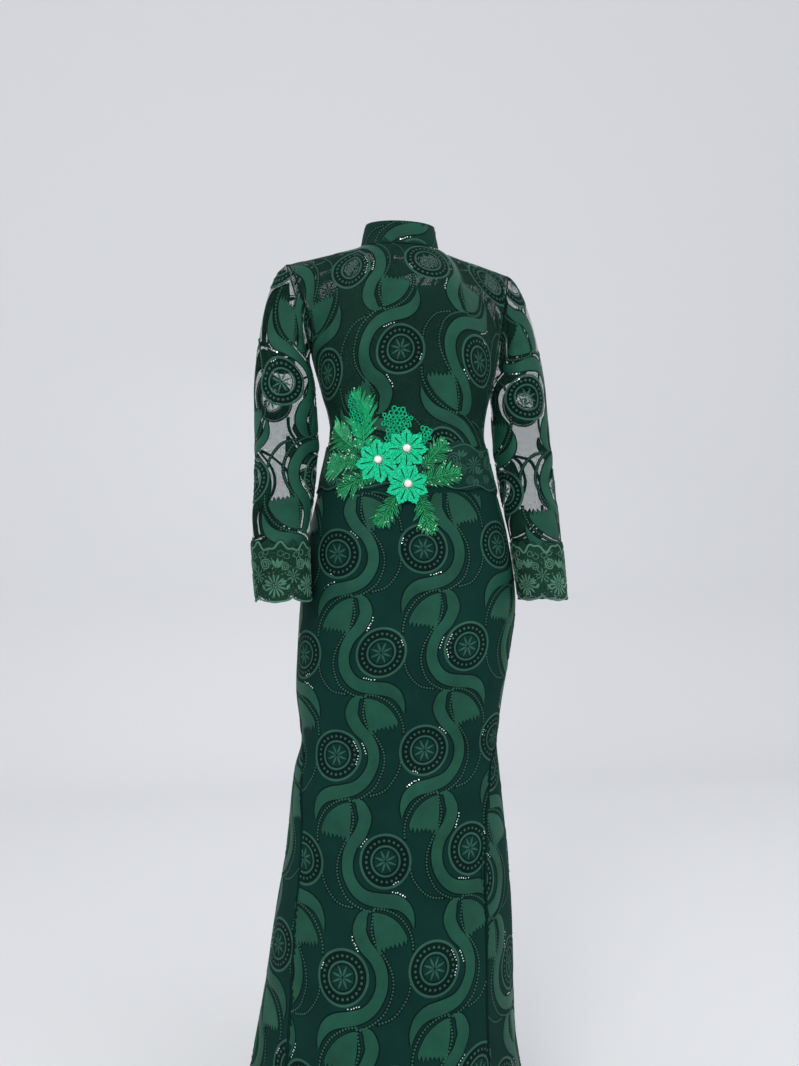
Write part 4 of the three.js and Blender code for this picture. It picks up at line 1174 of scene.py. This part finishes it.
FULLNESS = {
    "spray_upper_left": (1.1, 14), "spray_left_high": (1.75, 14), "spray_left_low": (1.7, 14),
    "spray_lower_left": (1.35, 14), "spray_bottom_left": (1.25, 14),
}  # how long the leaflets are, and how far the spray runs in under the flowers
PETALS, PEARL_RADIUS, FLOWER_EYE = 8, 6, 2.5
MAIN, VEIN, BEAD, PALE = range(4)


def rest_height(z):
    """How far out something lies on the gown's front: on the waist trim, or on the panel beside it."""
    reach = 16
    inside = np.minimum(z - (TRIM["bottom"] - TRIM["wave"]), TRIM["top"] + TRIM["wave"] - z)
    share = np.clip((inside + reach) / reach, 0, 1)
    return CORSAGE_GAP + (TRIM_GAP + BORDER + LAY - CORSAGE_GAP) * share * share * (3 - 2 * share)


class Patch:
    """Local millimetres round a middle on the gown's front, over the waist trim."""

    def __init__(self, angle, z, level=False):
        self.angle, self.z, self.level = angle, z, level
        self.step = float(np.linalg.norm(figure(angle + 1.0, z) - figure(angle + 0.0, z)))

    def place(self, u, w, out):
        angle, z, h = self.angle + u / self.step, self.z + w, 1e-3
        across = figure(angle + h, z) - figure(angle - h, z)
        up = figure(angle, z + h) - figure(angle, z - h)
        way = np.cross(across, up)
        way /= np.linalg.norm(way, axis=-1, keepdims=True)
        base = rest_height(self.z + 0 * z) if self.level else rest_height(z)
        return (figure(angle, z) + way * (base + out)[..., None]) * MM

    def inside(self, u, w, margin=0.0):
        return np.ones(len(u), bool)


def leaf_outline(v, width, teeth, round_teeth):
    body = np.sin(np.pi * np.minimum(0.96, 0.08 + v * 0.9)) ** 0.6
    tooth = np.abs(np.sin(np.pi * teeth * v))
    return width / 2 * body * (0.78 + 0.22 * tooth if round_teeth else 0.62 + 0.38 * tooth)


def closed_leaf(made, length, width, teeth, round_teeth):
    """The toothed backing of a spray, as a closed plate."""
    thick = 0.5
    v = np.linspace(0, 1, 10 * teeth + 1)
    half = leaf_outline(v, width, teeth, round_teeth)
    side = np.array((1, 0.5, 0, -0.5, -1))
    u = np.concatenate([side[:, None] * half, side[::-1, None] * half])
    shape = point(v * length, -u, np.repeat([thick, 0.0], len(side))[:, None])
    made.add(shape.transpose(1, 0, 2).reshape(-1, 3), grid_faces(len(v), len(shape), closed=True), VEIN)


def looped_leaflet(made, at, heading, length, half, rise):
    """A narrow leaflet: a dull blade inside a bright pointed loop of thread."""
    way = direction(math.radians(heading))
    wide = np.array((0.2, 0.85, 1, 0.6, 0.05)) * half
    spine = (at, 0) + (np.array((0, 0.2, 0.5, 0.8, 1)) * length)[:, None] * way
    made.band(spine, wide, ridge(rise, 0.5), MAIN)
    off = wide[:, None] * (-way[1], way[0])
    made.band(np.concatenate([spine + off, (spine - off)[-2:0:-1]]), 0.42, ridge(rise + 0.55, rise - 0.3), BEAD,
              closed=True)


def ring_of_thread(made, at, off, radius, rise):
    made.band(circle(radius, 12, at, off), 0.95, ridge(rise, 0.35), MAIN, closed=True)


def fern(length, width, teeth, rings, full, tuck):
    """A spray along +u: backing, midrib, paired looped leaflets, a few pale beads; or mostly small rings.

    tuck is how far its first leaflets lie in under the flowers.
    """
    made = Stitching()
    random = np.random.default_rng(int(length * 10 + teeth))
    pitch, share_of_beads, ring_pitch, ring_gap = 4.0, 0.4, 6.0, 6.6
    closed_leaf(made, length, width * 0.9, teeth, False)
    made.band(point(np.linspace(0, length, 24), 0), 0.7, ridge(2.0, 0.6), BEAD)
    for at in np.arange(1.0 - tuck, 0.93 * length, pitch):
        share = max(0, at / length)
        reach = float(leaf_outline(np.array(min(share + 0.06, 0.94)), width, 1, False)) * 1.5 * full + 4.5
        reach *= 1 + 0.5 * max(0, -at / length)
        for side in (1, -1):
            if rings and side > 0 and share > 0.3:
                continue
            heading = side * (56 - 26 * share) + random.uniform(-9, 9)
            size = reach * random.uniform(0.85, 1.25)
            looped_leaflet(made, at + random.uniform(-0.6, 0.6), heading, size, 1.4, 1.3 + 0.5 * random.random())
            if random.random() < share_of_beads:
                far = size * random.uniform(0.45, 1.0)
                made.domes((at, 0) + far * direction(math.radians(heading)), 1.0, 2.9, PALE, base=1.4)
    looped_leaflet(made, length * 0.9, 0, length * 0.16, 1.5, 1.6)
    if rings:
        for at in np.arange(0.2 * length, length + 3, ring_pitch):
            half = float(leaf_outline(np.array(min(at / length, 0.97)), width, 1, True))
            for off in np.arange(-0.5 * half, 0.95 * half, ring_gap):
                shift = random.uniform(-1.2, 1.2, 2)
                ring_of_thread(made, at + shift[0], off + shift[1], random.uniform(2.5, 3.3), 2.5)
    return made


def bubble_pad(length, width, teeth):
    """A pad of small round crochet loops, looser and larger towards its tip."""
    made = Stitching()
    random = np.random.default_rng(int(length))
    closed_leaf(made, length, width * 0.6, teeth, True)
    pitch, share_of_loops = 6.9, 0.93
    for row, at in enumerate(np.arange(2.4 - 3 * pitch, length - 1, pitch * 0.84)):
        half = float(leaf_outline(np.array(min(max(0.08, at / length), 0.97)), width, teeth, True)) + 1
        for off in np.arange(-9, 10) * pitch + (row % 2) * pitch / 2:
            if abs(off) < half and random.random() < share_of_loops:
                shift = random.uniform(-1.3, 1.3, 2)
                size = random.uniform(2.4, 3.1) + 0.7 * (at > 0.75 * length)
                ring_of_thread(made, at + shift[0], off + shift[1], size, 1.6 + 0.5 * random.random())
    return made


def petal_flower(radius, phase):
    """A closed flower on a polar grid: pointed crochet petals, each raised round a dark slit."""
    made = Stitching()
    random = np.random.default_rng(int(radius + phase))
    across, rows = 24, 20
    columns = across * PETALS
    around = np.arange(columns) * 2 * np.pi / columns + math.radians(phase)
    lobe = (np.arange(columns) / across + 0.5) % 1 - 0.5
    tip = 1 - 2 * np.abs(lobe)
    which = ((np.arange(columns) / across + 0.5) % PETALS).astype(int)
    reach = random.uniform(0.93, 1.03, PETALS)[which]
    rim = radius * (0.8 + 0.3 * tip * reach + 0.025 * np.cos(2 * np.pi * 5 * lobe))
    v = np.linspace(0, 1, rows)[:, None]
    r = rim + (FLOWER_EYE - rim) * v
    dome = np.sin(np.pi * np.clip(1 - v, 0.04, 1) ** 0.8 * 0.9) ** 0.6
    slit = bell(lobe / 0.05) * bell((r / rim - 0.56) / 0.2)
    knots = 0.24 * np.cos(r * 2.0 + 1.4 * np.cos(2 * np.pi * 4 * lobe)) + 0.2 * np.cos(2 * np.pi * 6 * lobe)
    ridge = (0.2 + 0.8 * np.cos(np.pi * lobe) ** 0.6) * dome + knots * (v > 0.03)
    top = APPLIQUE - 0.8 + ridge - 0.9 * slit + 0.5 * (1 - np.abs(2 * v - 1))
    out = np.concatenate([top, np.zeros((rows, columns))[::-1]])
    both = np.concatenate([r, r[::-1]])
    points = point(both * np.cos(around), both * np.sin(around), out)
    faces = grid_faces(2 * rows, columns, closed=True)
    first = np.arange(columns)
    last, then = first + (2 * rows - 1) * columns, (first + 1) % columns
    faces = np.concatenate([faces, np.stack([last, then + last[0], then, first], axis=-1)])
    row, column = faces[:, 0] // columns, faces[:, 0] % columns
    edge = np.append(slit > 0.36, np.zeros((rows, columns), bool), axis=0)
    gap = (np.abs(lobe[column]) > 0.47) & (row < 7)
    made.add(points.reshape(-1, 3), faces, np.where(edge[np.minimum(row, 2 * rows - 1), column] | gap, VEIN, MAIN))
    made.domes(circle(PEARL_RADIUS + 1.2, 12), 0.8, APPLIQUE + 1.1, PALE, base=APPLIQUE - 0.2)
    return made


def make_corsage():
    pieces = []
    for name, angle, z, heading, length, width, teeth in SPRAYS + BUBBLES:
        pad = name.startswith("bubbles")
        bright = pad or name == "spray_upper_left"
        full, tuck = FULLNESS.get(name, (1.15, 12))
        made = bubble_pad(length, width, teeth) if pad else fern(length, width, teeth, bright, full, tuck)
        turned = Stitching()
        turned.copy(made.arrays(), heading=heading)
        tones = [EMERALD if bright else GLITTER, EMERALD_DARK, GLITTER_BEAD, GOLD_BEAD]
        piece = turned.on(Patch(angle, z), name + "_applique", tones)
        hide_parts(name)
        pieces.append(piece)
    for name, pearl, angle, z, radius, layer, phase in FLOWERS:
        patch = Patch(angle, z, level=True)
        lift = layer * (APPLIQUE + LAY)
        flower = petal_flower(radius, phase)
        flower.points = [points + (0, 0, lift) for points in flower.points]
        piece = flower.on(patch, name + "_applique", [EMERALD, EMERALD_DARK, GLITTER_BEAD, GOLD_BEAD])
        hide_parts(name)
        place_pearl(pearl, patch, lift + APPLIQUE + LAY)


def place_pearl(name, patch, lift):
    """A pearl with a small flat base on its flower."""
    flat, rings, sides = math.radians(-48), 20, 32
    arc = np.linspace(flat, math.pi / 2 * 0.985, rings)
    r = np.concatenate([[0.3], PEARL_RADIUS * np.cos(arc)])
    rise = np.concatenate([[0], PEARL_RADIUS * (np.sin(arc) - math.sin(flat))])
    around = np.arange(sides) * 2 * np.pi / sides
    made = Stitching()
    made.grid(r[:, None] * np.cos(around), r[:, None] * np.sin(around), lift + rise[:, None] + 0 * around, MAIN,
              closed=True)
    low, high = patch.place(np.zeros(2), np.zeros(2), np.array((0.0, 1.0)))
    points, faces, kinds, uv = made.arrays()
    turn = Vector(high - low).to_track_quat("Z", "Y").to_matrix()
    placed = np.array([low + np.array(turn @ Vector(p)) * MM for p in points])
    piece = new_object(name + "_bead", placed, faces, kinds, uv * MM, [PEARL], sharp=80)
    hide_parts(name)


# ---------------------------------------------------------------- zip, stage and camera


def make_zip():
    for name in ("zip_slider", "zip_pull"):
        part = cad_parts[name]
        part.data.materials.clear()
        part.data.materials.append(ZIP_PAINT)
        bevel = part.modifiers.new("softened edges", "BEVEL")
        bevel.width, bevel.segments, bevel.limit_method = 0.15 * MM, 2, "ANGLE"


def make_stage():
    """A pale floor that curves up into a wall."""
    back, bend, reach, tall = 3.0, 0.8, 6.0, 5.0
    floor = (HEM - 3) * MM
    turns = np.linspace(0, math.pi / 2, 12)
    curved = [(back - bend + bend * math.sin(t), floor + bend * (1 - math.cos(t))) for t in turns]
    profile = [(-reach, floor)] + curved + [(back, floor + tall)]
    points = [(x, y, z) for x in (-reach, reach) for y, z in profile]
    count = len(profile)
    faces = [(k, k + 1, count + k + 1, count + k) for k in range(count - 1)]
    mesh = bpy.data.meshes.new("backdrop")
    mesh.from_pydata(points, [], faces)
    mesh.polygons.foreach_set("use_smooth", [True] * len(faces))
    paint, tree, shader = new_material("backdrop_paint")
    feed(tree, shader, {"Base Color": srgb(222, 223, 225), "Roughness": 0.9, "Specular IOR Level": 0.1})
    mesh.materials.append(paint)
    backdrop = bpy.data.objects.new("backdrop", mesh)
    bpy.context.scene.collection.objects.link(backdrop)


def area_light(name, place, target, size, power, colour=(1, 1, 1)):
    data = bpy.data.lights.new(name, "AREA")
    data.size, data.energy, data.color = size, power, colour
    light = bpy.data.objects.new(name, data)
    light.location = place
    light.rotation_euler = (Vector(target) - Vector(place)).to_track_quat("-Z", "Y").to_euler()
    bpy.context.scene.collection.objects.link(light)


def make_lights():
    middle = (0, 0, -0.65)
    area_light("key", (-1.3, -2.4, 0.9), middle, 1.2, 34, (1.0, 0.99, 0.97))
    area_light("fill", (1.9, -1.9, 0.1), middle, 1.6, 14, (0.97, 0.98, 1.0))
    area_light("back", (0.4, 1.9, 1.4), middle, 1.8, 12)
    world = bpy.data.worlds.new("studio")
    world.use_nodes = True
    tree = world.node_tree
    feed(tree, tree.nodes["Background"], {"Color": srgb(238, 239, 242), "Strength": 1.0})
    bpy.context.scene.world = world
    bpy.context.scene.view_settings.view_transform = "Standard"


def make_camera():
    data = bpy.data.cameras.new("camera")
    data.lens, data.sensor_width = 27.0, 36.0
    camera = bpy.data.objects.new("camera", data)
    camera.location = (-0.185, -1.317, -0.540)
    heading, pitch = math.radians(-8.0), math.radians(2.6)
    camera.rotation_euler = (math.pi / 2 + pitch, 0, heading)
    bpy.context.scene.collection.objects.link(camera)
    bpy.context.scene.camera = camera


make_camera()
make_stage()
make_lights()
make_skirt()
make_bodice()
make_collar()
make_seams()
make_sleeves()
make_cuffs()
make_waist_trim()
make_corsage()
make_zip()
